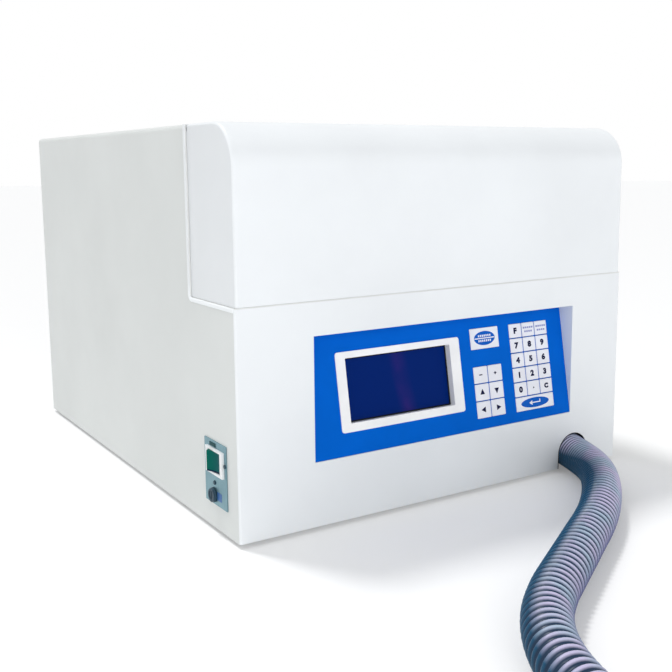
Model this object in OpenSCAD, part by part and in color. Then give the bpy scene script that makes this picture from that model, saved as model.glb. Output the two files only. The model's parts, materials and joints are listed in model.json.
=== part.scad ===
// Benchtop reflow oven: a lifting front hood over a drawer-type heating chamber, a tilted
// control console below it, and a fume blower that blows through a flexible hose.
// +X is right, +Y is back, +Z is up. The origin is on the bench under the casing's centre.

/* [Casing] */
// Width over the side sheets
casing_w = 488; // [460:1:540]
// Depth from the front face to the rear panel
casing_d = 600; // [570:1:680]
// Height without the feet
casing_h = 380; // [372:1:430]
// Thickness of the casing sheets
sheet_t = 2; // [1.5:0.1:2.5]
// Radius of the top side edges
edge_r = 5; // [3:0.5:8]
// Radius of the upright front edges
corner_r = 2.5; // [1:0.5:4]
// Gap between the bench and the casing
foot_h = 4; // [3:0.5:8]
// Radius of a rubber foot
foot_r = 13; // [10:0.5:14]
// Distance of a foot's axis from the casing's edges
foot_inset = 28; // [20:1:29]
// Height of the base pan's upturned edges
pan_rim_h = 18; // [10:1:30]
// Thickness of the base pan and the inner sheets
inner_t = 1.5; // [1:0.1:2]

/* [Hood] */
// Depth of the hood from the front face to the hinge line
hood_d = 96; // [90:1:110]
// Height of the front seam above the casing's bottom
seam_h = 217; // [212:1:222]
// Radius of the hood's top front edge
hood_round = 40; // [25:1:50]
// Set-back of the hood's sides from the casing's sides
hood_inset = 1.5; // [1:0.1:3]
// Width of the seams around the hood
seam_gap = 1.2; // [0.8:0.1:2]
// Thickness of the hood's outer skin
hood_skin = 1.5; // [1:0.1:2]
// Insulation between the hood's skin and its liner
hood_wool = 8; // [6:0.5:12]
// Outer radius of the hinge knuckles
knuckle_r = 3; // [2.5:0.1:3.5]
// Radius of the hinge pin
pin_r = 1.2; // [1:0.1:1.4]
// Running clearance between the pin and its knuckles
pin_play = 0.05; // [0.03:0.01:0.08]
// Length of one hinge knuckle
knuckle_l = 36; // [24:1:60]
// Width of a hinge leaf
leaf_w = 18; // [12:1:24]
// Thickness of a hinge leaf
leaf_t = 1.2; // [1:0.1:1.6]

/* [Chamber] */
// Gap between the tray and the chamber's sides
tray_side = 15; // [12:1:25]
// Depth inside the chamber
chamber_d = 330; // [300:1:370]
// Air gap between the upper insulation and the casing's top
roof_gap = 5.6; // [4:0.2:16]
// Thickness of the stainless liner
liner_t = 1.2; // [0.8:0.1:1.5]
// Insulation below and above the liner
wool_h = 14; // [10:1:16]
// Insulation beside the liner
wool_w = 40; // [30:1:50]
// Insulation behind the liner
wool_back = 30; // [20:1:40]
// Distance from the hinge line to the chamber's front frame
mouth_inset = 8; // [6:1:12]
// Width of the liner's front flange
flange_w = 9; // [6:1:10]
// Radius of a quartz heater tube
heater_r = 5; // [4:0.5:6]
// Radius of a heater's ceramic end
heater_end_r = 7; // [6.5:0.5:9]
// Distance from the liner to the heater tubes' axis
heater_gap = 15; // [12:1:18]
// Number of heater tubes above the tray, and as many below
heater_n = 4; // [3:1:5]

/* [Tray] */
// Width of the board tray
tray_w = 300; // [260:1:300]
// Depth of the board tray
tray_d = 235; // [180:1:240]
// Height of the tray above the chamber's floor
tray_lift = 36; // [32:1:46]
// Height of the tray's frame bars
tray_bar = 4; // [3:0.5:6]
// Width of the tray's frame bars
tray_rim = 10; // [8:1:16]
// Number of cross wires on the tray
tray_wires = 11; // [5:1:15]
// Height of the tray's front lip
tray_lip = 20; // [12:1:26]
// Distance from the front frame to the tray's lip
tray_setback = 36; // [30:1:45]

/* [Convection fan] */
// Gap between the fan's blades and the chamber's floor and roof
fan_gap = 12; // [10:1:24]
// Depth of the fan's blades
fan_blade_d = 18; // [12:1:22]
// Number of fan blades
fan_blades = 8; // [5:1:12]
// Radius of the fan's shaft
shaft_r = 4; // [3:0.5:5]
// Radius of the fan's motor
motor_r = 38; // [30:1:42]
// Length of the fan's motor
motor_l = 66; // [50:1:80]

/* [Console] */
// Distance from the casing's left side to the console
console_x = 80.5; // [72:0.5:90]
// Height of the console's lower edge above the casing's bottom
console_z = 63.5; // [58:0.5:68]
// Width of the console
console_w = 333.5; // [330:0.5:345]
// Length of the console along its slope
console_l = 123; // [120:0.5:126]
// Lean of the console away from upright
console_tilt = 10; // [6:1:12]
// Thickness of the console's front plate
overlay_t = 1.5; // [1.2:0.1:1.8]
// Thickness of the key switch board
board_t = 1.5; // [1.2:0.1:2]
// Clearance around the console's plates
fit_gap = 0.2; // [0.1:0.05:0.3]

/* [Display] */
// Distance from the console's left edge to the bezel
bezel_x = 32.5; // [28:0.5:36]
// Distance from the console's lower edge to the bezel
bezel_v = 22.5; // [20:0.5:26]
// Width of the bezel
bezel_w = 152; // [148:0.5:156]
// Height of the bezel
bezel_h = 78; // [74:0.5:82]
// Corner radius of the bezel
bezel_r = 3; // [2:0.5:5]
// How far the bezel stands proud of the console
bezel_proud = 1.2; // [0.8:0.1:2]
// Width of the lip that lies on the console
bezel_lip = 3; // [2:0.5:4]
// Distance from the bezel's left edge to the window
window_x = 10.8; // [9:0.1:12]
// Distance from the bezel's lower edge to the window
window_v = 8.4; // [7:0.1:9]
// Width of the window
window_w = 128.4; // [124:0.2:130]
// Height of the window
window_h = 63; // [60:0.5:64]
// Depth from the bezel's face to the glass
window_depth = 8; // [6:0.5:9]
// Thickness of the glass
glass_t = 1.2; // [1:0.1:2]
// Thickness of the display behind the glass
display_t = 9; // [7:0.5:10]

/* [Keys] */
// Gap between neighbouring keys
key_gap = 1.2; // [1.1:0.1:1.6]
// Clearance around each key in its window
key_play = 0.3; // [0.25:0.05:0.4]
// Height of a key's face over the console
key_proud = 0.5; // [0.3:0.1:0.9]
// Travel of a key
key_travel = 0.4; // [0.3:0.05:0.5]
// Corner radius of a key
key_r = 0.8; // [0.5:0.1:1.5]
// Distance from the console's left edge to the arrow keys
arrow_x = 200.7; // [198:0.1:203]
// Distance from the console's lower edge to the arrow keys
arrow_v = 11.7; // [9:0.1:13]
// Width of an arrow key
arrow_w = 18.7; // [17:0.1:20]
// Height of an arrow key
arrow_h = 17.3; // [16:0.1:18.5]
// Distance from the console's left edge to the number keys
digit_x = 255.3; // [252:0.1:258]
// Distance from the console's lower edge to the number keys
digit_v = 11; // [9:0.1:13]
// Width of a number key
digit_w = 17.5; // [16:0.1:18.5]
// Height of a number key
digit_h = 14.9; // [13.5:0.1:15.5]
// Distance from the console's lower edge to the start key
start_v = 84.6; // [82:0.1:88]
// Height of the start key
start_h = 22; // [20:0.5:24]

/* [Power plate] */
// Distance from the front face to the plate
plate_y = 23; // [18:0.5:30]
// Height of the plate's lower edge above the casing's bottom
plate_z = 24.5; // [22:0.5:30]
// Length of the plate
plate_l = 47; // [44:0.5:52]
// Height of the plate
plate_h = 62; // [58:0.5:68]
// Thickness of the plate
plate_t = 1.2; // [1:0.1:2]
// Distance from the front face to the rocker's middle
rocker_y = 45; // [43:0.5:47]
// Height of the rocker's middle above the casing's bottom
rocker_z = 67.5; // [66:0.5:70]
// Radius of the rocker's curved ends
rocker_r = 12.6; // [11:0.1:13]
// Width of the rocker
rocker_w = 20; // [18:0.5:21]
// Height of the rocker's face over its pivot, in the middle
rocker_dip = 5.6; // [5:0.1:6]
// Height of the rocker's face over its pivot, at its ends
rocker_rise = 7.2; // [6.6:0.1:7.6]
// Lean of the rocker at rest, and as much the other way when switched
rocker_tilt = 14; // [10:1:14]
// Radius of the rocker's pivot
rocker_pin_r = 1.5; // [1.2:0.1:2]
// Clearance around the rocker
rocker_play = 0.4; // [0.3:0.05:0.6]
// Length of the switch's white frame
switch_l = 36; // [34:0.5:37]
// Height of the switch's white frame
switch_h = 25; // [24:0.5:27]
// How far the switch's frame stands out
switch_proud = 2.5; // [2:0.1:3]
// Distance from the front face to the fuse holder
fuse_y = 51; // [48:0.5:54]
// Height of the fuse holder above the casing's bottom
fuse_z = 33.5; // [33:0.5:36]
// Radius of the fuse holder's cap
fuse_r = 6.5; // [5:0.5:7]

/* [Fume outlet] */
// Distance from the casing's left side to the hose
hose_x = 420; // [405:0.5:430]
// Outer radius of the hose
hose_r = 19.5; // [18:0.5:20]
// Clearance between the hose and its arch in the front face
arch_gap = 2.5; // [1.5:0.5:4]
// Outer radius of the blower's outlet pipe
spigot_r = 18; // [16:0.5:18.5]
// Distance from the front face to the outlet pipe's end
spigot_y = 60; // [50:1:70]
// Height of the outlet pipe's axis above the bench
spigot_z = 27; // [26.5:0.5:30]
// Wall of the pipes and the blower's scroll
pipe_t = 1.5; // [1:0.1:2]
// Width of the hose clamp
clamp_w = 9; // [6:0.5:12]
// Outer radius of the hose's end cuff
cuff_r = 23.5; // [21:0.5:24]
// Length of the hose's end cuff
cuff_l = 50; // [40:1:70]
// Inner radius of the blower's scroll
scroll_r = 56; // [50:1:60]
// Inner height of the blower's scroll
scroll_h = 38; // [36:1:44]
// Distance from the front face to the blower's axis
blower_y = 190; // [180:1:200]
// Outer radius of the blower wheel
wheel_r = 44; // [38:1:48]
// Radial width of the wheel's blades
wheel_blade = 9; // [7:0.5:12]
// Number of the wheel's blades
wheel_blades = 24; // [12:1:30]
// Radius of the suction pipe under the chamber
suction_r = 20; // [16:1:22]

/* [Rear] */
// Width of the mains inlet
inlet_w = 32; // [30:0.5:36]
// Height of the mains inlet
inlet_h = 25; // [24:0.5:28]
// Depth of the mains inlet's recess
inlet_depth = 19; // [18:0.5:22]
// Height of the mains inlet's middle above the casing's bottom
inlet_z = 48; // [40:1:60]
// Number of cooling slots in a row
slot_n = 12; // [6:1:16]
// Width of a cooling slot
slot_w = 4; // [3:0.5:5]
// Length of a cooling slot
slot_l = 46; // [30:1:60]
// Radius of a screw's head
screw_r = 3.2; // [2.5:0.1:4]
// Height of a screw's head
screw_head = 1.8; // [1.2:0.1:2.4]

/* [Hidden] */
$fn = 48;
eps = 0.01;
// Casing faces
xo = casing_w/2;
xi = xo - sheet_t;
yf = -casing_d/2;
yb = casing_d/2;
zb = foot_h;
zt = foot_h + casing_h;
seam_z = zb + seam_h;
chamber_w = tray_w + 2*tray_side;
// Hinge line, and the deck below the hood
hinge_y = yf + hood_d;
hinge_z = zt - knuckle_r;
hinge_gap = 0.4;
deck_top = seam_z - 3;
deck_z = deck_top - sheet_t;
frame_y = hinge_y + mouth_inset;
// Hood skin
hood_xo = xo - hood_inset;
hood_zb = seam_z + seam_gap/2;
hood_yr = hinge_y - seam_gap;
// Liner of the hood
hl_side = 24;
hl_xo = chamber_w/2 + hl_side;
hl_yf = yf + hood_skin + hood_wool;
hl_yr = frame_y - liner_t - 2.6;
hl_zb = hood_zb + hood_skin + 0.5;
hl_zt = zt - hood_skin - hood_wool;
// The tightest bend of the liner that still clears the inside of the skin's bend
liner_clear = 1;
hl_r_least = 3*liner_t;
hl_bend = hood_round - hood_skin - hood_wool;
hl_r = max(hl_r_least, (sqrt(2)*hl_bend - (hood_round - hood_skin - liner_clear))/(sqrt(2) - 1));
hl_lip_y = hood_yr - 2;
sheet_gap = 0.1;
seal_t = 2.2;
seal_lap = 3;
// Chamber
liner_zb = deck_top + wool_h;
liner_zt = zt - sheet_t - roof_gap - wool_h;
floor_z = liner_zb + liner_t;
roof_z = liner_zt - liner_t;
fan_r = (roof_z - floor_z)/2 - fan_gap;
liner_yr = frame_y + chamber_d;
liner_xo = chamber_w/2 + liner_t;
wool_zt = liner_zt + wool_h;
heater_zl = floor_z + heater_gap;
heater_zu = roof_z - heater_gap;
heater_front = 45;
heater_back = 65;
heater_pitch = (chamber_d - heater_front - heater_back)/(heater_n - 1);
heater_y0 = frame_y + heater_front;
heater_hold = 26;
heater_in = 4;
heater_lead = 8;
terminal_r = heater_end_r + 2;
tray_z = floor_z + tray_lift;
tray_y = frame_y + tray_setback;
rail_play = 0.4;
rail_w = 23;
rail_t = 2;
rail_h = 12;
rail_front = 4;
rail_back = 40;
fan_z = (floor_z + roof_z)/2;
fan_y = liner_yr - fan_blade_d - 8;
fan_hub_r = 14;
motor_off = 6;
motor_neck_r = 12;
bracket_w = 48;
bracket_foot = 10;
bracket_in = 8;
motor_y = liner_yr + liner_t + wool_back + motor_off;
shaft_in = 22;
shaft_play = 0.05;
// Console
con_x = -xo + console_x;
con_z = zb + console_z;
con_top = con_z + console_l*cos(console_tilt);
con_back = yf + console_l*sin(console_tilt);
pocket_t = 1.5;
pocket_lip = 5;
bezel_body = window_depth - bezel_proud;
board_y = overlay_t + 1.4;
spacer_w = 6;
// Keys: [name, column, row] on each pad, rows counted from the lower edge
ARROWS = [["left", 0, 0], ["right", 1, 0], ["up", 0, 1], ["down", 1, 1],
          ["minus", 0, 2], ["plus", 1, 2]];
DIGITS = [["0", 0, 1], ["point", 1, 1], ["clear", 2, 1], ["1", 0, 2], ["2", 1, 2], ["3", 2, 2],
          ["4", 0, 3], ["5", 1, 3], ["6", 2, 3], ["7", 0, 4], ["8", 1, 4], ["9", 2, 4],
          ["function", 0, 5], ["program", 1, 5], ["store", 2, 5]];
arrow_px = arrow_w + key_gap;
arrow_pv = arrow_h + key_gap;
digit_px = digit_w + key_gap;
digit_pv = digit_h + key_gap;
pad_w = 3*digit_w + 2*key_gap;
start_w = 2*arrow_w + key_gap;
KEYS = concat(
    [for (k = ARROWS) [k[0], arrow_x + k[1]*arrow_px, arrow_v + k[2]*arrow_pv, arrow_w, arrow_h]],
    [for (k = DIGITS) [k[0], digit_x + k[1]*digit_px, digit_v + k[2]*digit_pv, digit_w, digit_h]],
    [["enter", digit_x, digit_v, pad_w, digit_h], ["start", arrow_x, start_v, start_w, start_h]]);
key_t = overlay_t - 0.1;
key_boss = 0.5;
// Power plate
rocker_pivot_x = -xo + 2.4;
rocker_cy = yf + rocker_y;
rocker_cz = zb + rocker_z;
rocker_back = 2.5;
rocker_pin_l = 1;
switch_wall = 2;
switch_floor = 4.5;
switch_deep = 20;
switch_body_l = 2*(rocker_r + rocker_play + switch_wall);
switch_body_h = rocker_w + 2*(rocker_play + switch_wall - 0.2);
plate_gap = 0.2;
plate_screw_r = 1.3;
plate_screw_h = 0.8;
PLATE_SCREWS = [[yf + plate_y + 1.9, rocker_cz], [yf + plate_y + 25.5, zb + plate_z + 21.5]];
// Fume outlet
out_x = -xo + hose_x;
arch_z = hose_r + 0.5;
blower_cy = yf + blower_y;
blower_cx = out_x - scroll_r + spigot_r;
scroll_z = zb + inner_t + 3;
duct_top = scroll_z + pipe_t + scroll_h;
wheel_z = scroll_z + pipe_t + 3;
wheel_h = scroll_h - 7;
wheel_hub_r = 17;
bell_t = 2;
motor_hub_r = 13;
clamp_t = 1.8;
clamp_y = yf + spigot_y + 1.5;
clamp_screw_w = 14;
clamp_screw_h = 6;
blower_shaft_r = 3;
notch_w = hose_r + 4;
// Rear
panel_y = yb - sheet_t;
inlet_in = 110;
inlet_cx = -xo + inlet_in;
inlet_cz = zb + inlet_z;
inlet_lip = 2;
inlet_lip_t = 2.5;
inlet_wall = 3.5;
inlet_pin_w = 2;
inlet_pin_h = 5;
inlet_pin_in = 5;
slots_up = 88;
slots_z = zb + slots_up;
slot_pitch = 2.5*slot_w;
vent_hole_r = 4;
shank_r = 1.5;
shank_gap = 0.1;
screw_in = 6;
screw_low = 9;
screw_top = 12;
screw_below = 22;
screw_side = 8;
REAR_SCREWS = [for (sx = [-1, 1], z = [zb + screw_low, deck_z - screw_below, zt - screw_top])
    [sx*(xi - screw_side), z]];
vent_slots_x = -190;
blower_slots_x = 80;
top_slots_z = slots_z + 62;
low_slots_z = slots_z - 28;
pan_slots = [-170, 40];
// Controller board over the base pan
pcb_x = -xo + 34;
pcb_front = 90;
pcb_y = yf + pcb_front;
pcb_w = 220;
pcb_d = 170;
pcb_t = 1.6;
pcb_lift = 10;
pcb_z = zb + inner_t + pcb_lift;
pcb_edge = 7;
pcb_post_r = 3;
// The hose's centre line: from the outlet pipe over the bench, then a wide turn that rises
// a little to the end cuff
bench = hose_r;
hose_rise = cuff_r - hose_r;
turn_r = 205;
turn_at = [11, -722];
turn_from = 123;
turn_to = 330;
turn_steps = 20;
turn_flat = 13;
function climb(t) = t*t*(3 - 2*t);
HOSE = concat(
    [[out_x, yf + spigot_y, spigot_z], [177, -266, 25], [176, -292, 21.5], [169, -320, bench],
     [158, -345, bench], [144, -367, bench], [127, -387, bench], [105, -409, bench],
     [81, -430, bench], [54, -451, bench], [26, -470, bench], [-3, -488, bench],
     [-30, -505, bench], [-54, -520, bench], [-78, -535, bench], [-101, -550, bench]],
    [for (i = [1:turn_steps])
        let (a = turn_from + i*(turn_to - turn_from)/turn_steps)
        [turn_at[0] + turn_r*cos(a), turn_at[1] + turn_r*sin(a),
         bench + hose_rise*climb(max(0, i - turn_flat)/(turn_steps - turn_flat))]]);
hose_sides = 12;
cuff_turn = turn_to + 90;
cuff_heading = [cos(cuff_turn), sin(cuff_turn), 0];
cuff_t = 2.5;

// ---- Shapes that repeat ----

// A box from one corner to the other
module span(a, b) { translate(a) cube(b - a); }

// A cylinder along X, Y or Z from a point
module rod_x(p, r, l) { translate(p) rotate([0, 90, 0]) cylinder(r = r, h = l); }
module rod_y(p, r, l) { translate(p) rotate([-90, 0, 0]) cylinder(r = r, h = l); }
module rod_z(p, r, l) { translate(p) cylinder(r = r, h = l); }

// A rectangle with round corners, lower left corner at the origin
module round_rect(w, h, r) {
    translate([r, 0]) square([w - 2*r, h]);
    translate([0, r]) square([w, h - 2*r]);
    for (x = [r, w - r], y = [r, h - r]) translate([x, y]) circle(r = r);
}

// A slot with round ends, centred, long way up
module slot_up(w, l) {
    square([w, l - w], center = true);
    for (s = [-1, 1]) translate([0, s*(l - w)/2]) circle(d = w);
}

// Moves its children onto the console: x right, z up the slope, y into the casing
module on_console() { translate([con_x, yf, con_z]) rotate([-console_tilt, 0, 0]) children(); }

// A round-cornered plate on the console, from depth y0 to y1
module console_slab(x, v, w, h, r, y0, y1) {
    translate([x, y1, v]) rotate([90, 0, 0]) linear_extrude(y1 - y0) round_rect(w, h, r);
}

// ---- Casing ----

module cover_profile(inset) {
    r = edge_r - inset;
    w = casing_w - 2*inset;
    h = casing_h - inset;
    translate([-w/2, 0]) square([w, h - r]);
    translate([-w/2 + r, 0]) square([w - 2*r, h]);
    for (x = [-w/2 + r, w/2 - r]) translate([x, h - r]) circle(r = r);
}

module outer_cover() color([0.93, 0.94, 0.94]) difference() {
    translate([0, yb, zb]) rotate([90, 0, 0]) linear_extrude(casing_d - sheet_t) cover_profile(0);
    translate([0, yb + 1, zb]) rotate([90, 0, 0]) linear_extrude(casing_d + 2) {
        cover_profile(sheet_t);
        translate([-xi, -1]) square([2*xi, casing_h/2]);
    }
    // Room for the hood and its hinge
    span([-xo - 1, yf - 1, seam_z - seam_gap/2], [xo + 1, hinge_y, zt + 1]);
    span([-xo - 1, hinge_y - 1, zt - 2*knuckle_r], [xo + 1, hinge_y + knuckle_r + hinge_gap, zt + 1]);
    // Opening behind the power plate
    span([-xo - 1, yf + plate_y + 4, zb + plate_z + 4],
         [-xi + 1, yf + plate_y + plate_l - 4, zb + plate_z + plate_h - 4]);
}

module fascia_profile() {
    translate([-xo, corner_r]) square([casing_w, sheet_t]);
    translate([-xo + corner_r, 0]) square([casing_w - 2*corner_r, sheet_t + corner_r]);
    for (s = [-1, 1]) translate([s*(xo - corner_r), corner_r]) circle(r = corner_r);
}

module front_fascia() color([0.96, 0.97, 0.97]) difference() {
    union() {
        intersection() {
            translate([0, yf, zb]) linear_extrude(seam_h - seam_gap/2) fascia_profile();
            span([-xo, yf, zb], [xo, yf + sheet_t, seam_z]);
        }
        // Sides, top and lower edge of the console pocket
        for (x = [con_x - pocket_t, con_x + console_w]) translate([x, 0, 0]) rotate([90, 0, 90])
            linear_extrude(pocket_t) polygon([
                [yf + sheet_t, con_z - pocket_t], [yf + sheet_t, con_top + pocket_t],
                [con_back + pocket_lip, con_top + pocket_t], [yf + pocket_lip, con_z - pocket_t]]);
        span([con_x, yf + sheet_t, con_top], [con_x + console_w, con_back + pocket_lip, con_top + pocket_t]);
        span([con_x, yf + sheet_t, con_z - pocket_t], [con_x + console_w, yf + pocket_lip, con_z]);
    }
    span([con_x, yf - 1, con_z], [con_x + console_w, yf + sheet_t + 1, con_top]);
    // Arch for the hose
    rod_y([out_x, yf - 1, arch_z], hose_r + arch_gap, sheet_t + 2);
    span([out_x - hose_r - arch_gap, yf - 1, 0], [out_x + hose_r + arch_gap, yf + sheet_t + 1, arch_z]);
}

module base_pan() color([0.72, 0.74, 0.75]) difference() {
    span([-xi, yf + sheet_t, zb], [xi, panel_y, zb + pan_rim_h]);
    span([-xi + inner_t, yf + sheet_t + inner_t, zb + inner_t],
         [xi - inner_t, panel_y - inner_t, zb + pan_rim_h + 1]);
    // Notch for the hose
    span([out_x - notch_w, yf, zb - 1], [out_x + notch_w, yf + spigot_y + 4, zb + pan_rim_h + 1]);
    for (sx = [-1, 1], sy = [-1, 1])
        rod_z([sx*(xo - foot_inset), sy*(yb - foot_inset), zb - 1], 3, inner_t + 2);
    // Cooling slots
    for (i = [0:slot_n - 1]) translate([pan_slots[0] + i*slot_pitch, pan_slots[1], zb - 1])
        linear_extrude(inner_t + 2) slot_up(slot_w, slot_l);
    for (p = REAR_SCREWS) rod_y([p[0], panel_y - screw_in - 1, p[1]], shank_r + shank_gap, screw_in + 2);
}

module feet() color([0.12, 0.12, 0.13]) for (sx = [-1, 1], sy = [-1, 1])
    translate([sx*(xo - foot_inset), sy*(yb - foot_inset), 0]) {
        cylinder(r1 = foot_r - 2, r2 = foot_r, h = foot_h);
        cylinder(r = 2.9, h = foot_h + inner_t + 1);
        translate([0, 0, foot_h + inner_t]) cylinder(r = 6, h = 2);
    }

module rear_slots(x, z) for (i = [0:slot_n - 1]) translate([x + i*slot_pitch, panel_y + sheet_t + 1, z])
    rotate([90, 0, 0]) linear_extrude(sheet_t + 2) slot_up(slot_w, slot_l);

module rear_panel() color([0.9, 0.91, 0.91]) difference() {
    translate([0, yb, zb]) rotate([90, 0, 0]) linear_extrude(sheet_t) cover_profile(sheet_t);
    for (x = [vent_slots_x, blower_slots_x]) rear_slots(x, top_slots_z);
    rear_slots(blower_slots_x - 2*slot_pitch, low_slots_z);
    // Vent in front of the fan's motor
    for (v = [[26, 30], [12, 60]], a = [0:v[1]:359])
        rod_y([v[0]*cos(a), panel_y - 1, fan_z + v[0]*sin(a)], vent_hole_r, sheet_t + 2);
    // Opening for the mains inlet
    inlet_block(inlet_w - 2*inlet_lip, inlet_h - 2*inlet_lip, panel_y - 1, yb + 1);
    for (p = REAR_SCREWS) rod_y([p[0], panel_y - 1, p[1]], shank_r + shank_gap, sheet_t + 2);
}

module casing_screws() color([0.75, 0.75, 0.76]) {
    for (p = REAR_SCREWS) {
        rod_y([p[0], panel_y - screw_in, p[1]], shank_r, sheet_t + screw_in);
        rod_y([p[0], yb, p[1]], screw_r, screw_head);
    }
    for (p = PLATE_SCREWS) rod_x([-xo - plate_t - plate_screw_h, p[0], p[1]], plate_screw_r, plate_screw_h);
}

// ---- Deck and chamber ----

module deck_frame() color([0.78, 0.79, 0.8]) difference() {
    union() {
        span([-xi, yf + sheet_t, deck_z], [xi, panel_y, deck_top]);
        span([-xi, frame_y, deck_top], [xi, frame_y + sheet_t, zt - sheet_t - edge_r]);
    }
    span([-liner_xo, frame_y - 1, liner_zb], [liner_xo, frame_y + sheet_t + 1, liner_zt]);
    rod_z([blower_cx, blower_cy, deck_z - 1], suction_r + 0.5, sheet_t + 2);
}

module chamber_liner() color([0.8, 0.8, 0.79]) difference() {
    union() {
        span([-liner_xo, frame_y - liner_t, liner_zb], [liner_xo, liner_yr + liner_t, liner_zt]);
        span([-liner_xo - flange_w, frame_y - liner_t, liner_zb - flange_w],
             [liner_xo + flange_w, frame_y, liner_zt + flange_w]);
    }
    span([-chamber_w/2, frame_y - liner_t - 1, floor_z], [chamber_w/2, liner_yr, roof_z]);
    for (i = [0:heater_n - 1], z = [heater_zl, heater_zu], s = [-1, 1])
        rod_x([s*(liner_xo + 1) - (s > 0 ? 10 : 0), heater_y0 + i*heater_pitch, z], heater_end_r, 10);
    rod_y([0, liner_yr - 1, fan_z], shaft_r + 1.5, liner_t + 2);
    rod_z([blower_cx, blower_cy, liner_zb - 1], suction_r - pipe_t, liner_t + 2);
}

module chamber_insulation() color([0.86, 0.84, 0.76]) difference() {
    span([-liner_xo - wool_w, frame_y + sheet_t, deck_top],
         [liner_xo + wool_w, liner_yr + liner_t + wool_back, wool_zt]);
    span([-liner_xo, frame_y, liner_zb], [liner_xo, liner_yr + liner_t, liner_zt]);
    for (i = [0:heater_n - 1], z = [heater_zl, heater_zu], s = [-1, 1])
        rod_x([s*(liner_xo + wool_w + 1) - (s > 0 ? wool_w + 2 : 0), heater_y0 + i*heater_pitch, z],
              terminal_r, wool_w + 2);
    rod_y([0, liner_yr, fan_z], shaft_r + 3, wool_back + liner_t + 2);
    rod_z([blower_cx, blower_cy, deck_top - 1], suction_r + 0.5, wool_h + 2);
}

module quartz_heaters() color([0.85, 0.83, 0.8])
    for (i = [0:heater_n - 1], z = [heater_zl, heater_zu]) translate([0, heater_y0 + i*heater_pitch, z]) {
        rod_x([-liner_xo - heater_lead, 0, 0], heater_r, 2*(liner_xo + heater_lead));
        for (s = [-1, 1]) rod_x([s*(liner_xo + heater_hold/2 - heater_in) - heater_hold/2, 0, 0],
                                heater_end_r, heater_hold);
    }

// Angle rails on the chamber's sides
module tray_rails() color([0.7, 0.7, 0.7]) for (s = [-1, 1]) {
    span([s > 0 ? chamber_w/2 - rail_w : -chamber_w/2, frame_y + rail_front, tray_z - rail_t],
         [s > 0 ? chamber_w/2 : -chamber_w/2 + rail_w, liner_yr - rail_back, tray_z]);
    span([s > 0 ? chamber_w/2 - rail_t : -chamber_w/2, frame_y + rail_front, tray_z - rail_t],
         [s > 0 ? chamber_w/2 : -chamber_w/2 + rail_t, liner_yr - rail_back, tray_z + rail_h]);
}

module board_tray() color([0.75, 0.76, 0.77]) translate([0, 0, tray_z + rail_play]) {
    difference() {
        span([-tray_w/2, tray_y, 0], [tray_w/2, tray_y + tray_d, tray_bar]);
        span([-tray_w/2 + tray_rim, tray_y + tray_rim, -1],
             [tray_w/2 - tray_rim, tray_y + tray_d - tray_rim, tray_bar + 1]);
    }
    for (i = [1:tray_wires])
        rod_x([-tray_w/2 + 2, tray_y + i*tray_d/(tray_wires + 1), tray_bar/2], 1.2, tray_w - 4);
    span([-tray_w/2 + 40, tray_y, 0], [tray_w/2 - 40, tray_y + 2, tray_lip]);
}

module convection_fan() color([0.7, 0.71, 0.72]) {
    rod_y([0, fan_y, fan_z], fan_hub_r, fan_blade_d);
    rod_y([0, fan_y, fan_z], shaft_r, motor_y + shaft_in - fan_y);
    for (a = [0:360/fan_blades:359]) translate([0, fan_y, fan_z]) rotate([0, a, 0])
        translate([fan_hub_r - 2, fan_blade_d/2, 0]) rotate([35, 0, 0])
            translate([0, -fan_blade_d/2 + 1, -0.6]) cube([fan_r - fan_hub_r + 2, fan_blade_d - 2, 1.2]);
}

module convection_motor() color([0.3, 0.31, 0.33]) difference() {
    union() {
        rod_y([0, motor_y, fan_z], motor_r, motor_l);
        rod_y([0, motor_y - motor_off, fan_z], motor_neck_r, motor_off + 1);
        span([-bracket_w/2, motor_y + bracket_in, deck_top],
             [bracket_w/2, motor_y + motor_l - bracket_in, fan_z - motor_r + 6]);
        span([-bracket_w/2 - bracket_foot, motor_y + bracket_in, deck_top],
             [bracket_w/2 + bracket_foot, motor_y + motor_l - bracket_in, deck_top + 3]);
    }
    rod_y([0, motor_y - 7, fan_z], shaft_r + shaft_play, shaft_in + 10);
    for (a = [0:45:315])
        rod_y([0.74*motor_r*cos(a), motor_y + motor_l - 3, fan_z + 0.74*motor_r*sin(a)], vent_hole_r, 4);
}

// ---- Hood ----

module hood_profile(y0, y1, z0, z1, r) {
    translate([y0 + r, z0]) square([y1 - y0 - r, z1 - z0]);
    translate([y0, z0]) square([y1 - y0, z1 - z0 - r]);
    translate([y0 + r, z1 - r]) circle(r = r, $fn = 96);
}

module hood_bar(x, y0, y1, z0, z1, r) {
    translate([-x, 0, 0]) rotate([90, 0, 90]) linear_extrude(2*x) hood_profile(y0, y1, z0, z1, r);
}

module hood_shell() color([0.96, 0.97, 0.98]) difference() {
    hood_bar(hood_xo, yf, hood_yr, hood_zb, zt, hood_round);
    hood_bar(hood_xo - hood_skin, yf + hood_skin, hood_yr + 1, hood_zb + hood_skin, zt - hood_skin,
             hood_round - hood_skin);
    span([-xo, hinge_y - knuckle_r - hinge_gap, zt - 2*knuckle_r], [xo, hinge_y, zt + 1]);
}

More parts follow.
